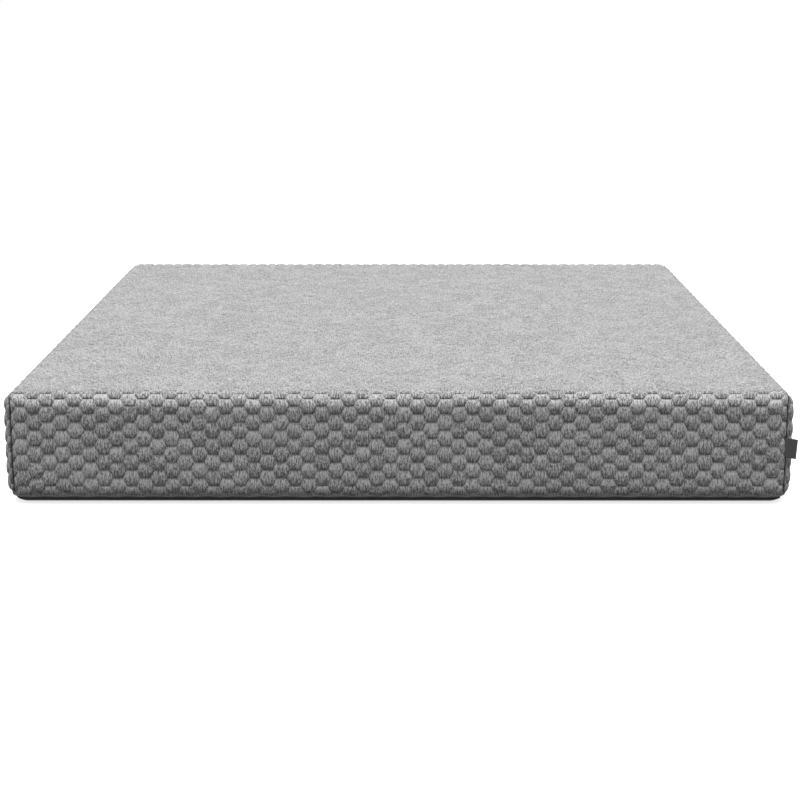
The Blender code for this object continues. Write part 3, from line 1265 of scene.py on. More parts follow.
@dataclass(frozen=True)
class HemLoop:
    """The curled lower edge all round the bed, walked from the head end leftwards."""

    bed: Bed

    def stations(self, spacing: float, start: float, end: float) -> tuple[Array, Array, Array]:
        """Evenly spaced places round the hem.

        Args:
            spacing: the wanted distance between them.
            start: x on the head end where the walk begins.
            end: x on the head end where it ends, to the right of start.

        Returns:
            The middle of the corner or wall point behind each place, the level outward direction there,
            and the distance walked.
        """
        bed = self.bed
        cx, cy = bed.corner_x, bed.corner_y
        quarter = bed.plan_radius * QUARTER
        legs = [start + cx, quarter, 2 * cy, quarter, 2 * cx, quarter, 2 * cy, quarter, cx - end]
        marks = np.concatenate([[0.0], np.cumsum(legs)])
        count = max(int(round(marks[-1] / spacing)), 2)
        walked = np.linspace(0, marks[-1], count + 1)
        leg = np.clip(np.searchsorted(marks, walked, side="right") - 1, 0, len(legs) - 1)
        into = walked - marks[leg]
        turn = np.where(leg % 2 == 1, into / quarter, 0.0) + leg // 2
        angle = QUARTER * (1 + turn)
        corners = [(-cx, cy), (-cx, -cy), (cx, -cy), (cx, cy)]
        starts = np.array([(start, cy)] + [corner for corner in corners for _ in range(2)])
        still = (0, 0)
        heading = np.array([(-1, 0), still, (0, -1), still, (1, 0), still, (0, 1), still, (-1, 0)])
        middle = starts[leg] + heading[leg] * into[:, None]
        return middle, np.column_stack([np.cos(angle), np.sin(angle)]), walked

    def point(self, middle: Array, outward: Array, lean: Array, out: Array | float) -> Array:
        """A point on the hem's curl.

        Args:
            middle: from stations.
            outward: from stations.
            lean: the angle from straight down.
            out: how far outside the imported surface.

        Returns:
            Rows of x, y, z.
        """
        radius = self.bed.hem_radius + out
        level = middle + outward * (radius * np.sin(lean))[:, None]
        return np.column_stack([level, self.bed.hem_radius - radius * np.cos(lean)])


@dataclass(frozen=True)
class StitchRun:
    """A run of lockstitches, each a short rounded thread that dips into the cloth at its ends."""

    length: float = 3.4 * MM
    gap: float = 1.1 * MM
    radius: float = 0.32 * MM
    sides: int = 6
    stages: tuple[float, ...] = (0.0, 0.22, 0.5, 0.78, 1.0)
    lifts: tuple[float, ...] = (-1.0, 0.7, 1.2, 0.7, -1.0)
    girths: tuple[float, ...] = (0.45, 1.0, 1.0, 1.0, 0.45)

    def build(self, name: str, points: Array, normals: Array) -> bpy.types.Object:
        """Lays stitches along a line.

        Args:
            name: the piece's name.
            points: the line, finely spaced.
            normals: the way each point faces.

        Returns:
            The threads as one mesh.
        """
        reach = travelled(points)
        pitch = self.length + self.gap
        count = int(reach[-1] / pitch)
        at = (np.arange(count) * pitch)[:, None] + np.array(self.stages) * self.length
        spine = np.stack([np.interp(at, reach, points[:, k]) for k in range(3)], axis=-1)
        facing = np.stack([np.interp(at, reach, normals[:, k]) for k in range(3)], axis=-1)
        up = unit(facing.reshape(-1, 3)).reshape(spine.shape)
        spine = spine + up * (np.array(self.lifts) * self.radius)[:, None]
        across = unit(np.cross(np.gradient(spine, axis=1), up).reshape(-1, 3)).reshape(spine.shape)
        angle = (np.arange(self.sides) * math.tau / self.sides)[:, None]
        ring = across[:, :, None] * np.cos(angle) + up[:, :, None] * np.sin(angle)
        body = spine[:, :, None] + ring * (np.array(self.girths) * self.radius)[:, None, None]
        return make_object(name, body.reshape(-1, 3), tube_faces(count, len(self.stages), self.sides))


@dataclass
class Hem:
    """The turned strip that finishes the quilting, its stitching, and the zip's two rows of coils.

    The strip's lower edge rises and grows straight as it comes round to the head end, where its outward
    direction's y is 1. A pucker is a wave along the strip: its height, and its radians to the metre.
    """

    loop: HemLoop
    low: float = math.radians(51.5)
    head_low: float = math.radians(56.0)
    band: float = math.radians(5.0)
    rising: tuple[float, float] = (0.3, 0.9)
    straight: tuple[float, float] = (0.2, 0.5)
    thickness: float = 1.2 * MM
    sunk: float = 0.4 * MM
    step: float = 5.5 * MM
    overlap: float = 2 * MM
    scallop: tuple[float, float] = (66.54 * MM, 80.48 * MM)
    upper_wave: float = math.radians(1.6)
    lower_wave: float = math.radians(1.3)
    puckers: tuple[tuple[float, float], ...] = ((0.35 * MM, math.tau / (11 * MM)), (0.25 * MM, 331.0))
    stitch_line: float = 0.48
    stitch_height: float = 0.55
    section: tuple[tuple[float, float], ...] = (
        (0.00, -0.9), (0.0, 0.35), (0.10, 0.85), (0.30, 1.0), (0.48, 0.55), (0.62, 0.95), (0.85, 0.8),
        (1.0, 0.1), (1.0, -1.2),
    )
    coil_pitch: float = 2.4 * MM  # a real coil has about 1.4 mm; drawn coarser so that its turns show
    coil_wire: float = 0.8 * MM
    coil_lean: float = math.radians(50)
    coil_arch: tuple[tuple[float, float], ...] = (
        (0.95, -4.1), (0.85, -3.15), (1.25, -2.2), (2.5, -2.2), (3.3, -3.15), (3.35, -4.1),
    )
    stop_gap: float = 0.3 * MM
    sides: int = 6

    def lower_edge(self, outward: Array) -> Array:
        """The strip's lower edge: over the zip, and clear of the slider along the head end."""
        return self.low + (self.head_low - self.low) * smoothstep(*self.rising, outward[:, 1])

    def strip(self) -> bpy.types.Object:
        """Builds the strip.

        Returns:
            The strip, drawn up a little between every two cells and puckered by its stitches.
        """
        middle, outward, walked = self.loop.stations(self.step, 0.0, -self.overlap)
        wave = np.cos((middle / self.scallop).sum(axis=1) * math.tau)
        low = self.lower_edge(outward)
        high = low + self.band + self.upper_wave * wave
        low = low + self.lower_wave * wave * (1 - smoothstep(*self.straight, outward[:, 1]))
        pucker = sum(height * np.sin(walked * rate) for height, rate in self.puckers)
        rows = []
        for share, lift in self.section:
            out = self.thickness * lift + pucker * max(lift, 0) - self.sunk
            rows.append(self.loop.point(middle, outward, low + (high - low) * share, out))
        return loft("hem_strip", rows)

    def stitching(self) -> bpy.types.Object:
        """Sews the strip down along its dip.

        Returns:
            The stitches.
        """
        middle, outward, _ = self.loop.stations(6 * MM, 0.0, -self.overlap)
        lean = self.lower_edge(outward) + self.band * self.stitch_line
        points = self.loop.point(middle, outward, lean, self.thickness * self.stitch_height - self.sunk)
        normals = np.column_stack([outward * np.sin(lean)[:, None], -np.cos(lean)])
        return StitchRun().build("hem_stitching", points, normals)

    def coil(self, side: int) -> bpy.types.Object:
        """Winds one half of the zip's coil round the hem, between its two stops.

        Args:
            side: 1 for the upper half and -1 for the lower.

        Returns:
            The coil, as a row of rounded turns.
        """
        stops = np.array([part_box(name) for name in ("zip_stop_open", "zip_stop_closed")])
        start = float(stops[:, 0, 0].min()) - self.stop_gap
        end = float(stops[:, 1, 0].max()) + self.stop_gap
        middle, outward, _ = self.loop.stations(self.coil_pitch, start, end)
        middle, outward = middle[1:-1], outward[1:-1]
        sine, cosine = math.sin(self.coil_lean), math.cos(self.coil_lean)
        level = np.ones(len(outward))
        normal = np.column_stack([outward * sine, -cosine * level])
        up = np.column_stack([outward * cosine, sine * level])
        foot = self.loop.point(middle, outward, self.coil_lean * level, 0.0)
        path = np.array(self.coil_arch) * (side * MM, MM)
        step = unit(np.gradient(path, axis=0))
        spine = foot[:, None] + up[:, None] * path[:, :1] + normal[:, None] * path[:, 1:]
        bend = up[:, None] * -step[:, 1:] + normal[:, None] * step[:, :1]
        turn = (np.arange(self.sides) * math.tau / self.sides)[:, None]
        ring = np.cross(up, normal)[:, None, None] * np.cos(turn) + bend[:, :, None] * np.sin(turn)
        body = spine[:, :, None] + ring * self.coil_wire / 2
        name = "upper" if side > 0 else "lower"
        faces = tube_faces(len(foot), len(self.coil_arch), self.sides)
        return make_object(f"zip_coil_turns_{name}", body.reshape(-1, 3), faces)


@dataclass
class BottomCover:
    """The grip-dotted lower cover: one sheet under the bed, curled up to the zip and drawn in by it.

    A pucker is a wave along its edge: its height, and its radians to the metre.
    """

    loop: HemLoop
    thickness: float = 1.6 * MM
    corner: float = 5 * MM
    seam: float = math.radians(38)
    flat_from: float = math.radians(7)
    step: float = 7 * MM
    overlap: float = 0.5 * MM
    shares: tuple[float, ...] = (0.0, 0.0, 0.06, 0.14, 0.28, 0.45, 0.65, 0.85, 1.0)
    insets: tuple[float, ...] = (20 * MM, 60 * MM, 140 * MM, 300 * MM, 520 * MM, 760 * MM)
    puckers: tuple[tuple[float, float], ...] = (
        (0.35 * MM, math.tau / (23 * MM)), (0.21 * MM, 151.0), (0.175 * MM, 61.0),
    )
    roll: float = 0.5 * MM
    drawn_in: float = 0.2 * MM
    dip: float = 0.12 * MM
    clear: float = 0.02 * MM

    def build(self) -> bpy.types.Object:
        """Builds the sheet from the zip down and in under the bed.

        Returns:
            The sheet.
        """
        bed = self.loop.bed
        middle, outward, walked = self.loop.stations(self.step, 0.0, self.overlap)
        puckers = sum(height * np.sin(walked * rate) for height, rate in self.puckers)
        loops = []
        for share in self.shares:
            lean = np.full(len(middle), self.seam + (self.flat_from - self.seam) * share)
            out = puckers * math.exp(-share * 5) + self.roll * math.sin(math.pi * min(share * 3, 1))
            if not loops:
                out = np.full(len(middle), -self.thickness)
            loops.append(self.loop.point(middle, outward, lean, out - self.drawn_in * (share < 0.3)))
        for inset in self.insets:
            shrink = np.maximum(1 - inset / np.array([bed.corner_x, bed.corner_y]), 0.02)
            ring = middle * shrink + outward * self.corner * shrink
            dip = self.dip * (1 + np.sin(ring[:, 0] * 19 + 2 * np.sin(ring[:, 1] * 11)))
            loops.append(np.column_stack([ring, dip]))
        for loop in loops:
            loop[:, 2] = np.maximum(loop[:, 2], self.clear)
        return self.closed(loops)

    @staticmethod
    def closed(loops: list[Array]) -> bpy.types.Object:
        """Skins the loops and fills the middle, with the floor plan as the UV map.

        Args:
            loops: closed loops of points, from the outside in.

        Returns:
            The sheet.
        """
        count = len(loops[0])
        points = np.vstack([*loops, loops[-1].mean(axis=0)])
        turns = [(k, (k + 1) % count) for k in range(count)]
        starts = [row * count for row in range(len(loops))]
        faces = [(at + a, at + count + a, at + count + b, at + b) for at in starts[:-1] for a, b in turns]
        faces += [(starts[-1] + b, starts[-1] + a, len(points) - 1) for a, b in turns]
        plan = np.vstack([points[list(face), :2] for face in faces])
        return make_object("grip_bottom_cover", points, faces, plan)


# ---------------------------------------------------------------- labels


def turned(points: Array, angle: float, first: int, second: int) -> Array:
    """Turns points in the plane of two axes.

    Args:
        points: rows of x, y, z.
        angle: how far, from the second axis towards the first.
        first: the number of the first axis.
        second: the number of the second axis.

    Returns:
        The turned rows.
    """
    result = points.copy()
    sine, cosine = math.sin(angle), math.cos(angle)
    result[:, first] = cosine * points[:, first] + sine * points[:, second]
    result[:, second] = cosine * points[:, second] - sine * points[:, first]
    return result


def thicken(sheet: bpy.types.Object, thickness: float, offset: float) -> bpy.types.Object:
    """Gives a sheet its thickness.

    Args:
        sheet: the sheet.
        thickness: how thick it gets.
        offset: 1 to grow outwards only, 0 to grow both ways.

    Returns:
        The same sheet.
    """
    solid = sheet.modifiers.new("Thickness", "SOLIDIFY")
    solid.thickness = thickness
    solid.offset = offset
    return sheet


@dataclass
class CornerTag:
    """The blank satin tag: a ribbon folded in two and caught in the right foot seam."""

    bed: Bed
    reach: float = 28.5 * MM
    height: float = 49.5 * MM
    allowance: float = 5 * MM
    middle_z: float = 145.8 * MM
    root: tuple[float, float] = (-5 * MM, -4 * MM)
    turn: float = math.radians(22)
    tilt: float = math.radians(3)
    layer: float = 0.35 * MM
    fold: float = 0.55 * MM
    pressed: float = 0.8
    bow: float = 0.9 * MM
    droop: float = 0.5 * MM
    flat: tuple[float, float] = (68 * MM, 49.5 * MM)

    def build(self) -> bpy.types.Object:
        """Folds the ribbon.

        Returns:
            The tag, bowed a little and pressed flat at its fold.
        """
        tip = self.reach - self.fold
        arc = [(tip + self.fold * math.sin(a), self.fold * math.cos(a)) for a in np.linspace(0, math.pi, 7)]
        out = np.linspace(-self.allowance, tip, 9)[:-1]
        face = [(x, self.fold * (self.pressed + (1 - self.pressed) * x / self.reach)) for x in out]
        x, y = np.array(face + arc + [(x, -y) for x, y in face[::-1]]).T
        seam_y = -(self.bed.corner_y + self.bed.seam_bow)
        root = (self.bed.seam_x + self.root[0], seam_y + self.root[1], self.middle_z)
        rows = []
        for share in np.linspace(-0.5, 0.5, 13):
            bow = self.bow * np.sin(3 * x / self.reach) * (1 - 0.5 * share)
            droop = self.droop * (x / self.reach) ** 2
            row = np.column_stack([x, y + bow, share * self.height - droop])
            rows.append(turned(turned(row, self.tilt, 0, 2), self.turn, 0, 1) + root)
        return thicken(loft("satin_tag", rows), self.layer, 0.0)


@dataclass
class CareLabel:
    """The blank care label, a woven patch sewn flat across the cells of the head end."""

    low: Array
    high: Array
    out: float = 2.9 * MM
    thickness: float = 0.4 * MM
    ripple: float = 0.35 * MM
    pulled_down: float = 0.3 * MM
    pull_width: float = 2.2 * MM
    sewn_in: float = 3 * MM
    stitch: StitchRun = StitchRun(2.6 * MM, 0.9 * MM, 0.22 * MM)
    stitch_sunk: float = 0.25 * MM
    flat: tuple[float, float] = (100 * MM, 60 * MM)

    def level(self, x: Array, z: Array) -> Array:
        """How far out the patch lies: over the cells, sinking a little between them."""
        return self.low[1] + self.out + self.ripple * np.sin(x * 190) * np.sin(z * 156 + 0.8)

    def patch(self) -> bpy.types.Object:
        """Lays the patch over the cells.

        Returns:
            The patch, pulled down a little at its edge.
        """
        x = np.linspace(self.low[0], self.high[0], 41)
        rows = []
        for z in np.linspace(self.low[2], self.high[2], 25):
            above = np.full(len(x), min(z - self.low[2], self.high[2] - z))
            edge = np.minimum.reduce([x - x[0], x[-1] - x, above])
            y = self.level(x, z) - self.pulled_down * np.exp(-edge / self.pull_width)
            rows.append(np.column_stack([x, y, np.full(len(x), z)])[::-1])
        return thicken(loft("care_label_patch", rows), self.thickness, 1.0)

    def stitching(self) -> bpy.types.Object:
        """Sews the patch down a little inside its edge.

        Returns:
            The stitches.
        """
        x0, x1 = self.low[0] + self.sewn_in, self.high[0] - self.sewn_in
        z0, z1 = self.low[2] + self.sewn_in, self.high[2] - self.sewn_in
        corners = np.array([(x0, z0), (x1, z0), (x1, z1), (x0, z1), (x0, z0)])
        sides = [np.linspace(a, b, 40, endpoint=False) for a, b in zip(corners, corners[1:])]
        x, z = np.vstack(sides).T
        line = np.column_stack([x, self.level(x, z) - self.stitch_sunk + self.thickness, z])
        return self.stitch.build("care_label_stitching", line, np.tile([0.0, 1.0, 0.0], (len(line), 1)))


# ---------------------------------------------------------------- materials


@dataclass(frozen=True)
class HoneycombKnit:
    """Heather-grey double-knit polyester, jacquard-knitted on a circular machine.

    Light and dark yarns are mixed, so the eye sees upright flecks and short streaks on a mid grey, and a
    matt surface with fine ribs. Painted on top are shade along each cell's lower edge, where the cloth is
    drawn down between two cells, darker painted shade in the seams, and painted light growing up each cell
    to its upper edge.
    """

    name: str = "honeycomb_knit"
    light: str = "d7d7d7"
    dark: str = "717171"
    # Painted shade along each cell's lower edge, where the cloth is drawn down between cells
    painted_shade: str = "505052"
    # Darker painted shade in the seams
    seam: str = "2c2c2e"
    streak: tuple[float, float] = (2.0 * MM, 11 * MM)
    fleck: tuple[float, float] = (1.2 * MM, 4.0 * MM)
    patch: tuple[float, float] = (8 * MM, 4.5 * MM)
    ragged: tuple[float, float, float] = (5.0, 4.0, 2.0)
    contrast: float = 1.75
    cell_contrast: float = 0.36
    patch_contrast: tuple[float, float] = (0.2, 0.3)  # on a wall, and how much more on the level top
    calm: float = 0.5
    # How strongly the painted light and painted highlight show
    edge_light: float = 0.6
    painted_seam_full: float = -0.6
    rib: float = 2.4 * MM  # real ribs are 1.2 mm apart; drawn coarser so that they show
    rib_height: float = 0.35
    streak_height: float = 0.6
    fleck_height: float = 0.8

    def make(self) -> bpy.types.Material:
        """Builds the knit.

        Returns:
            The material, which reads the attributes that Shading gives the cloth.
        """
        g = Graph(bpy.data.materials.new(self.name))
        place_on = g.add("ShaderNodeUVMap", uv_map=CLOTH)
        sizes = zip((self.streak, self.fleck, self.patch), self.ragged)
        streaks, flecks, patches = [self.yarn(g, place_on, size, ragged) for size, ragged in sizes]
        known = ("lie", "tone", "depth", "lit")
        lie, tone, depth, lit = [
            g.add("ShaderNodeAttribute", output="Fac", attribute_name=name) for name in known
        ]
        middle = -self.contrast - self.cell_contrast / 2
        yarns = g.weighted(
            middle, (streaks, self.contrast), (flecks, self.contrast), (tone, self.cell_contrast)
        )
        lively = g.weighted(1.0, (lie, -self.calm))
        worn, worn_level = self.patch_contrast
        patchy = g.weighted(worn, (lie, worn_level))
        # The painted light lightens each cell towards its upper edge
        share = g.weighted(
            0.5, (yarns, lively), (g.weighted(-0.5, (patches, 1.0)), patchy), (lit, self.edge_light)
        )
        heather = g.add("ShaderNodeMix", {0: share, 6: linear(self.dark), 7: linear(self.light)}, **COLOURS)
        # Painted shade: towards the painted shade colour along each cell's lower edge, then the darker seam
        # colour in the seams
        drawn = g.add("ShaderNodeMix", {0: depth, 6: linear(self.painted_shade), 7: heather}, **COLOURS)
        painted_seam_share = g.add("ShaderNodeMapRange", {"Value": depth, "From Min": 0.0, "From Max": self.painted_seam_full})
        seam_shaded = g.add("ShaderNodeMix", {0: painted_seam_share, 6: drawn, 7: linear(self.seam)}, **COLOURS)
        ribs = g.add(
            "ShaderNodeTexWave",
            {"Vector": place_on, "Scale": band_scale(self.rib), "Distortion": 1.2, "Detail": 1.0},
            "Fac", wave_type="BANDS", bands_direction="X",
        )
        height = g.weighted(
            0.0, (ribs, self.rib_height), (flecks, self.fleck_height), (streaks, self.streak_height)
        )
        bump = g.add("ShaderNodeBump", {"Height": height, "Strength": 0.55, "Distance": 0.7 * MM})
        g.feed(SHADER, Base_Color=seam_shaded, Normal=bump, Roughness=0.92, Sheen_Weight=0.18,
               Sheen_Roughness=0.5, Specular_IOR_Level=0.25)
        return g.owner

    @staticmethod
    def yarn(g: Graph, place_on: Socket, size: tuple[float, float], ragged: float) -> Socket:
        """A field of long soft spots, one for each place where a yarn of one tone comes to the face.

        Args:
            g: the material's nodes.
            place_on: the cloth's coordinates in metres.
            size: the spots' width, and their length up the cloth.
            ragged: how ragged they are.

        Returns:
            The field, about 0.5 on average.
        """
        width, length = size
        scaled = g.add("ShaderNodeMapping", {"Vector": place_on, "Scale": (1 / width, 1 / length, 1.0)})
        noise = g.add(
            "ShaderNodeTexNoise",
            {"Vector": scaled, "Scale": 0.62, "Detail": ragged, "Roughness": 0.6},
            noise_dimensions="2D",
        )
        return g.add("ShaderNodeMapRange", {"Value": noise, "From Min": 0.28, "From Max": 0.72})


@dataclass(frozen=True)
class WovenCloth:
    """Plain or satin weave: fine crossing threads that catch the light by turns."""

    name: str
    colour: str
    second: str
    thread: float
    roughness: float
    sheen: float = 0.0
    bump: float = 0.3
    uv: str | None = None
    slub: float = 9 * MM

    def make(self) -> bpy.types.Material:
        """Builds the weave.

        Returns:
            The material, laid out on the piece's own cloth where it has a UV map.
        """
        g = Graph(bpy.data.materials.new(self.name))
        if self.uv:
            place_on = g.add("ShaderNodeUVMap", uv_map=self.uv)
        else:
            place_on = g.add("ShaderNodeTexCoord", output="Object")
        wave = {"Vector": place_on, "Scale": band_scale(self.thread), "Distortion": 0.4, "Detail": 0.0}
        warp, weft = [
            g.add("ShaderNodeTexWave", wave, "Fac", wave_type="BANDS", bands_direction=way) for way in "XY"
        ]
        weave = g.weighted(0.0, (warp, weft))
        slub = g.add("ShaderNodeTexNoise", {"Vector": place_on, "Scale": 1 / self.slub, "Detail": 3.0})
        share = g.weighted(0.0, (weave, 0.5), (slub, 0.6))
        mix = g.add("ShaderNodeMix", {0: share, 6: linear(self.colour), 7: linear(self.second)}, **COLOURS)
        bump = g.add("ShaderNodeBump", {"Height": weave, "Strength": self.bump, "Distance": 0.3 * MM})
        g.feed(SHADER, Base_Color=mix, Normal=bump, Roughness=self.roughness, Sheen_Weight=self.sheen)
        return g.owner


@dataclass(frozen=True)
class GripKnit:
    """Charcoal polyester knit printed with soft vinyl dots, so that the cover doesn't creep on its base.

    The eye sees small black spots in straight rows, a little glossier than the matt knit round them.
    """

    name: str = "grip_knit"
    colour: str = "4a4b4d"
    fleck: str = "6a6b6e"
    dot: str = "151516"
    dot_pitch: float = 16 * MM  # real dots are 6 mm apart; drawn coarser so that they show
    dot_size: float = 6 * MM
    fleck_size: float = 2.2 * MM

    def make(self) -> bpy.types.Material:
        """Builds the knit and its dots.

        Returns:
            The material.
        """
        g = Graph(bpy.data.materials.new(self.name))
        place_on = g.add("ShaderNodeUVMap", uv_map=CLOTH)
        from_dot = g.add(
            "ShaderNodeTexVoronoi",
            {"Vector": place_on, "Scale": 1 / self.dot_pitch, "Randomness": 0.0},
            "Distance", voronoi_dimensions="2D",
        )
        edge = self.dot_size / 2 / self.dot_pitch
        inner, outer = edge * 0.8, edge * 1.1
        dot = g.add(
            "ShaderNodeMapRange",
            {"Value": from_dot, "From Min": inner, "From Max": outer, "To Min": 1.0, "To Max": 0.0},
        )
        flecks = {"Vector": place_on, "Scale": 1 / self.fleck_size, "Detail": 3.0}
        fleck = g.add("ShaderNodeTexNoise", flecks)
        knit = g.add("ShaderNodeMix", {0: fleck, 6: linear(self.colour), 7: linear(self.fleck)}, **COLOURS)
        both = g.add("ShaderNodeMix", {0: dot, 6: knit, 7: linear(self.dot)}, **COLOURS)
        height = g.weighted(0.0, (dot, 1.0), (fleck, 0.35))
        bump = g.add("ShaderNodeBump", {"Height": height, "Strength": 0.6, "Distance": 0.6 * MM})
        g.feed(SHADER, Base_Color=both, Normal=bump, Roughness=g.weighted(0.9, (dot, -0.25)))
        return g.owner


@dataclass(frozen=True)
class OpenCellFoam:
    """Poured polyurethane foam, cut on a band saw: matt, with fine open pores and a faint blush of tint."""

    name: str
    colour: str
    # Painted shade in the pores' hollows, and the faint random tint
    pore_shade_and_tint: str
    cell: float = 1.6 * MM
    cloud: float = 40 * MM

    def make(self) -> bpy.types.Material:
        """Builds the foam.

        Returns:
            The material.
        """
        g = Graph(bpy.data.materials.new(self.name))
        place_on = g.add("ShaderNodeTexCoord", output="Object")
        pores = g.add("ShaderNodeTexVoronoi", {"Vector": place_on, "Scale": 1 / self.cell}, "Distance")
        cloud = g.add("ShaderNodeTexNoise", {"Vector": place_on, "Scale": 1 / self.cloud, "Detail": 4.0})
        # Darker towards each pore's middle, which is painted shade in its hollow; the cloud adds a random
        # tint
        share = g.weighted(0.0, (pores, 0.7), (cloud, 0.4))
        mix = g.add("ShaderNodeMix", {0: share, 6: linear(self.pore_shade_and_tint), 7: linear(self.colour)}, **COLOURS)
        bump = g.add("ShaderNodeBump", {"Height": pores, "Strength": 0.4, "Distance": 0.5 * MM})
        g.feed(SHADER, Base_Color=mix, Normal=bump, Roughness=0.95)
        return g.owner


@dataclass(frozen=True)
class Thread:
    """Spun polyester sewing thread, two plies twisted: soft, and slightly lighter than the cloth."""

    name: str
    colour: str
    shade: str
    twist: float = 0.9 * MM

    def make(self) -> bpy.types.Material:
        """Builds the thread.

        Returns:
            The material.
        """
        g = Graph(bpy.data.materials.new(self.name))
        place_on = g.add("ShaderNodeTexCoord", output="Object")
        plies = g.add("ShaderNodeTexWave",
                      {"Vector": place_on, "Scale": band_scale(self.twist), "Distortion": 0.5},
                      "Fac", bands_direction="DIAGONAL")
        mix = g.add("ShaderNodeMix", {0: plies, 6: linear(self.shade), 7: linear(self.colour)}, **COLOURS)
        g.feed(SHADER, Base_Color=mix, Roughness=0.7, Sheen_Weight=0.2)
        return g.owner


@dataclass(frozen=True)
class CastZinc:
    """Die-cast zinc alloy with a gunmetal plating: satin, with tumbling marks and rubbed edges."""

    name: str = "zinc_alloy"
    colour: str = "8f9092"
    dull: str = "5e5f61"
    mark: float = 1.5 * MM

    def make(self) -> bpy.types.Material:
        """Builds the metal.

        Returns:
            The material.
        """
        g = Graph(bpy.data.materials.new(self.name))
        place_on = g.add("ShaderNodeTexCoord", output="Object")
        marks = g.add("ShaderNodeTexNoise", {"Vector": place_on, "Scale": 1 / self.mark, "Detail": 5.0})
        mix = g.add("ShaderNodeMix", {0: marks, 6: linear(self.dull), 7: linear(self.colour)}, **COLOURS)
        bump = g.add("ShaderNodeBump", {"Height": marks, "Strength": 0.15, "Distance": 0.1 * MM})
        g.feed(SHADER, Base_Color=mix, Normal=bump, Roughness=g.weighted(0.22, (marks, 0.25)), Metallic=1.0)
        return g.owner


@dataclass(frozen=True)
class ZipNylon:
    """Extruded nylon monofilament, wound hot into a coil: smooth, dark and fairly glossy."""

    name: str = "nylon_coil"
    colour: str = "3c3d3f"
    shade: str = "2a2a2c"
    batch: float = 6 * MM

    def make(self) -> bpy.types.Material:
        """Builds the nylon.

        Returns:
            The material.
        """
        g = Graph(bpy.data.materials.new(self.name))
        place_on = g.add("ShaderNodeTexCoord", output="Object")
        batch = g.add("ShaderNodeTexNoise", {"Vector": place_on, "Scale": 1 / self.batch, "Detail": 2.0})
        mix = g.add("ShaderNodeMix", {0: batch, 6: linear(self.shade), 7: linear(self.colour)}, **COLOURS)
        g.feed(SHADER, Base_Color=mix, Roughness=0.38, IOR=1.53)
        return g.owner


# ---------------------------------------------------------------- studio


class Ray(Enum):
    """The kinds of ray that see the studio's white instead of its working colour."""

    CAMERA = "Is Camera Ray"
    GLOSSY = "Is Glossy Ray"
    TRANSMISSION = "Is Transmission Ray"


@dataclass
class Studio:
    """A white sweep without walls, one broad soft lamp high over the bed, and a camera off the foot end."""

    sky: float = 0.48
    lamp: float = 2.3
    lamp_angle: float = math.radians(50)
    lamp_tilt: float = math.radians(6)
    floor_half: float = 60.0
    floor_drop: float = 0.4 * MM
    floor_glow: float = 0.72
    floor_lit: str = "3c3c3c"
    floor_shown: str = "f4f4f4"
    eye: tuple[float, float, float] = (0.0073, -4.9565, 1.2252)
    pitch: float = math.radians(13.672)
    yaw: float = math.radians(0.061)
    lens: float = 75.58
    sensor: float = 36.0
    sight: float = 300.0

    @staticmethod
    def shown_white(g: Graph) -> Socket:
        """A socket that is 1 for rays that see the studio's white.

        Args:
            g: the nodes to add it to.

        Returns:
            The socket.
        """
        kinds = [g.add("ShaderNodeLightPath", output=ray.value) for ray in Ray]
        seen = kinds[0]
        for kind in kinds[1:]:
            seen = g.add("ShaderNodeMath", {0: seen, 1: kind}, operation="MAXIMUM")
        return seen

    def build(self) -> None:
        """Makes the floor, the sky, the lamp and the camera."""
        scene = bpy.context.scene
        self.make_floor()
        self.make_sky()
        lamp = bpy.data.objects.new("overhead_softbox", bpy.data.lights.new("overhead_softbox", "SUN"))
        lamp.data.energy = self.lamp
        lamp.data.angle = self.lamp_angle
        lamp.rotation_euler = (self.lamp_tilt, 0, 0)
        scene.collection.objects.link(lamp)
        camera = bpy.data.objects.new("camera", bpy.data.cameras.new("camera"))
        camera.data.sensor_width = self.sensor
        camera.data.lens = self.lens
        camera.data.clip_end = self.sight
        camera.location = self.eye
        camera.rotation_euler = (QUARTER - self.pitch, 0, self.yaw)
        scene.collection.objects.link(camera)
        scene.camera = camera
        scene.view_settings.view_transform = "Standard"

    def make_floor(self) -> None:
        """A white floor that keeps the bed's shadow but throws little light back up at it."""
        half = self.floor_half
        corners = np.array([(-half, -half, 0), (half, -half, 0), (half, half, 0), (-half, half, 0)])
        floor = make_object("studio_floor", corners - (0, 0, self.floor_drop), [(0, 1, 2, 3)])
        g = Graph(bpy.data.materials.new("studio_floor"))
        seen = self.shown_white(g)
        lit, shown = linear(self.floor_lit), linear(self.floor_shown)
        mix = g.add("ShaderNodeMix", {0: seen, 6: lit, 7: shown}, **COLOURS)
        g.feed(SHADER, Base_Color=mix, Roughness=1.0, Specular_IOR_Level=0.0, Emission_Color=WHITE,
               Emission_Strength=g.weighted(0.0, (seen, self.floor_glow)))
        floor.data.materials.append(g.owner)

    def make_sky(self) -> None:
        """An even dim sky that shows as white."""
        g = Graph(bpy.data.worlds.new("studio_sky"))
        bpy.context.scene.world = g.owner
        strength = g.add("ShaderNodeMix", {0: self.shown_white(g), 2: self.sky, 3: 1.0})
        g.feed("Background", Color=WHITE, Strength=strength)


# ---------------------------------------------------------------- the mattress


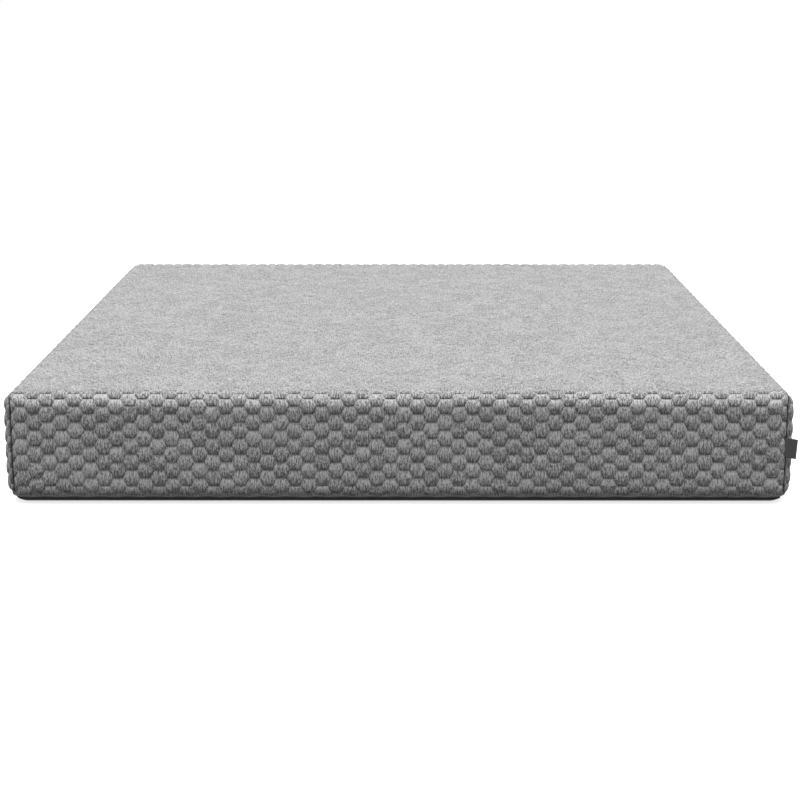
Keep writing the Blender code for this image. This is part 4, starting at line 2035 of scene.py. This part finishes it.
def make_finishes() -> dict[str, bpy.types.Material]:
    """Makes every finish of the bed.

    Returns:
        The materials, by the record's slot name, and three that a slot has besides its main one.
    """
    finishes: dict[str, Finish] = {
        "honeycomb_knit": HoneycombKnit(),
        # Needle-punched polyester fibre, seen only at a cut edge
        "polyester_wadding": WovenCloth("polyester_wadding", "e6e6e2", "f2f2ee", 2.2 * MM, 1.0, 0.3),
        # Spun-bonded scrim behind the wadding: thin and dimpled by its bonding roller
        "nonwoven_backing": WovenCloth("nonwoven_backing", "d6d6d2", "e4e4e0", 1.8 * MM, 0.9),
        # Woven polyester tape that binds the seam's raw edges
        "polyester_binding": WovenCloth("polyester_binding", "808080", "9a9a9a", 1.2 * MM, 0.8),
        "grip_knit": GripKnit(),
        # Herringbone-woven polyester zip tape
        "zip_tape": WovenCloth("zip_tape", "3e3f41", "58595b", 1.0 * MM, 0.8),
        "nylon_coil": ZipNylon(),
        "zinc_alloy": CastZinc(),
        # Satin-woven polyester ribbon: long floats give it a soft gleam
        "black_satin": WovenCloth("black_satin", "131314", "1e1e20", 0.9 * MM, 0.5, 0.1, 0.25, CLOTH),
        # Taffeta-woven white label
        "label_cloth": WovenCloth("label_cloth", "dcdcd8", "ecece8", 0.8 * MM, 0.75, 0.0, 0.3, CLOTH),
        # Knitted rayon-silica sock, off-white and matt
        "fire_barrier_knit": WovenCloth("fire_barrier_knit", "e9e6da", "f6f4ec", 1.6 * MM, 0.95, 0.2),
        "memory_foam": OpenCellFoam("memory_foam", "dfe6ea", "bccad2", 1.2 * MM),
        "comfort_foam": OpenCellFoam("comfort_foam", "f1efe6", "d8d3c0"),
        "transition_foam": OpenCellFoam("transition_foam", "e9e4d0", "cdc5a6", 1.8 * MM),
        "base_foam": OpenCellFoam("base_foam", "d9d9d6", "b4b4b0", 2.0 * MM),
        # The same knit cut as a narrow strip and turned: its ribs show, and its pattern doesn't
        "hem_strip": WovenCloth("hem_strip", "868686", "a2a2a2", 2.0 * MM, 0.9, 0.1, 0.5, CLOTH),
        "grey_thread": Thread("grey_thread", "a6a6a6", "7e7e7e"),
        "white_thread": Thread("white_thread", "e2e2de", "c4c4c0"),
    }
    return {slot: finish.make() for slot, finish in finishes.items()}


@dataclass
class QuiltedCover:
    """The honeycomb-quilted cover: the end-to-end panel in three stretches, and two side panels."""

    bed: Bed
    knit: bpy.types.Material
    foot_reach: float = 300 * MM
    fill: float = 0.55
    comb: Honeycomb = Honeycomb()
    side_comb: Honeycomb = Honeycomb(origin=(11 * MM, 191.2 * MM))

    def build(self) -> None:
        """Quilts every panel."""
        hung = StuffedCell(self.comb, True).swell()
        level = StuffedCell(self.comb, False).swell()
        panel = EndToEndPanel(self.bed)
        quilter = Quilter(self.comb, hung, level)
        end = panel.length - self.foot_reach
        stretches = (
            ("foot_quilting", FINE, lambda middle: middle[:, 1] < self.foot_reach),
            ("top_quilting", PLAIN, lambda middle: (self.foot_reach <= middle[:, 1]) & (middle[:, 1] < end)),
            ("head_quilting", FINE, lambda middle: middle[:, 1] >= end),
        )
        for name, grain, keep in stretches:
            self.finish(quilter.quilt(panel, name, grain, keep), panel.nodes)
        quilter = Quilter(self.side_comb, hung, level)
        for side in (1, -1):
            panel = SidePanel(self.bed, side)
            name = f"{panel.name}_quilting"
            piece = quilter.quilt(panel, name, FINE, lambda middle: np.full(len(middle), True))
            self.finish(piece, panel.nodes)

    def finish(self, piece: bpy.types.Object, nodes: tuple[str, ...]) -> None:
        """Args:
            piece: the stretch.
            nodes: the CAD nodes that it stands for.
        """
        piece.data.materials.append(self.knit)
        place(piece, "honeycomb_knit", *nodes)


@dataclass
class Mattress:
    """The whole bed: the cover, its hem and zip, the labels and the foam inside."""

    bed: Bed
    finishes: dict[str, bpy.types.Material]
    metal: tuple[str, ...] = ("zip_slider", "zip_pull", "zip_stop_open", "zip_stop_closed")
    metal_edge: float = 0.22 * MM

    def dress(self, piece: bpy.types.Object, slot: str, *nodes: str, finish: str | None = None) -> None:
        """Gives a piece its finish and its place.

        Args:
            piece: the finished piece.
            slot: the record's material slot.
            nodes: the CAD nodes that it stands for.
            finish: the finish, where it isn't the slot's main one.
        """
        piece.data.materials.append(self.finishes[finish or slot])
        place(piece, slot, *nodes)

    def build(self) -> None:
        """Builds every soft piece and finishes every packed one."""
        QuiltedCover(self.bed, self.finishes["honeycomb_knit"]).build()
        loop = HemLoop(self.bed)
        hem = Hem(loop)
        self.dress(hem.strip(), "honeycomb_knit", finish="hem_strip")
        self.dress(hem.stitching(), "honeycomb_knit", finish="grey_thread")
        self.dress(hem.coil(1), "nylon_coil", "zip_coil_upper")
        self.dress(hem.coil(-1), "nylon_coil", "zip_coil_lower")
        under = BottomCover(loop).build()
        self.dress(under, "grip_knit", "bottom_cover")
        tag = CornerTag(self.bed)
        ribbon = tag.build()
        self.dress(ribbon, "black_satin", "corner_tag")
        label = CareLabel(*(np.array(corner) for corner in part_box("care_label")))
        patch, sewing = label.patch(), label.stitching()
        self.dress(patch, "label_cloth", "care_label")
        self.dress(sewing, "label_cloth", finish="white_thread")
        self.finish_packed()

    def finish_packed(self) -> None:
        """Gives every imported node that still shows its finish, and rounds the metal's edges."""
        packed = {node.name: node for node in bpy.context.scene.objects if "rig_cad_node" in node}
        for name, node in packed.items():
            if node.hide_render:
                continue
            for index, material in enumerate(node.data.materials):
                key = material.name.split(".")[0] if material else ""
                found = [slot for slot in self.finishes if slot in key]
                if found:
                    node.data.materials[index] = self.finishes[found[0]]
                log.info("%s: %s", name, found[0] if found else f"no finish for {key}")
        for name in self.metal:
            rounded = packed[name].modifiers.new("Rounded edges", "BEVEL")
            rounded.width = self.metal_edge
            rounded.segments = 3
            rounded.limit_method = "ANGLE"
            rounded.harden_normals = False


def main() -> None:
    """Loads the frame, measures the bed from it, and builds the studio and the mattress."""
    logging.basicConfig(level=logging.INFO, format="%(name)s: %(message)s")
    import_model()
    Studio().build()
    Mattress(Bed.measured(), make_finishes()).build()


if __name__ == "__main__":
    main()
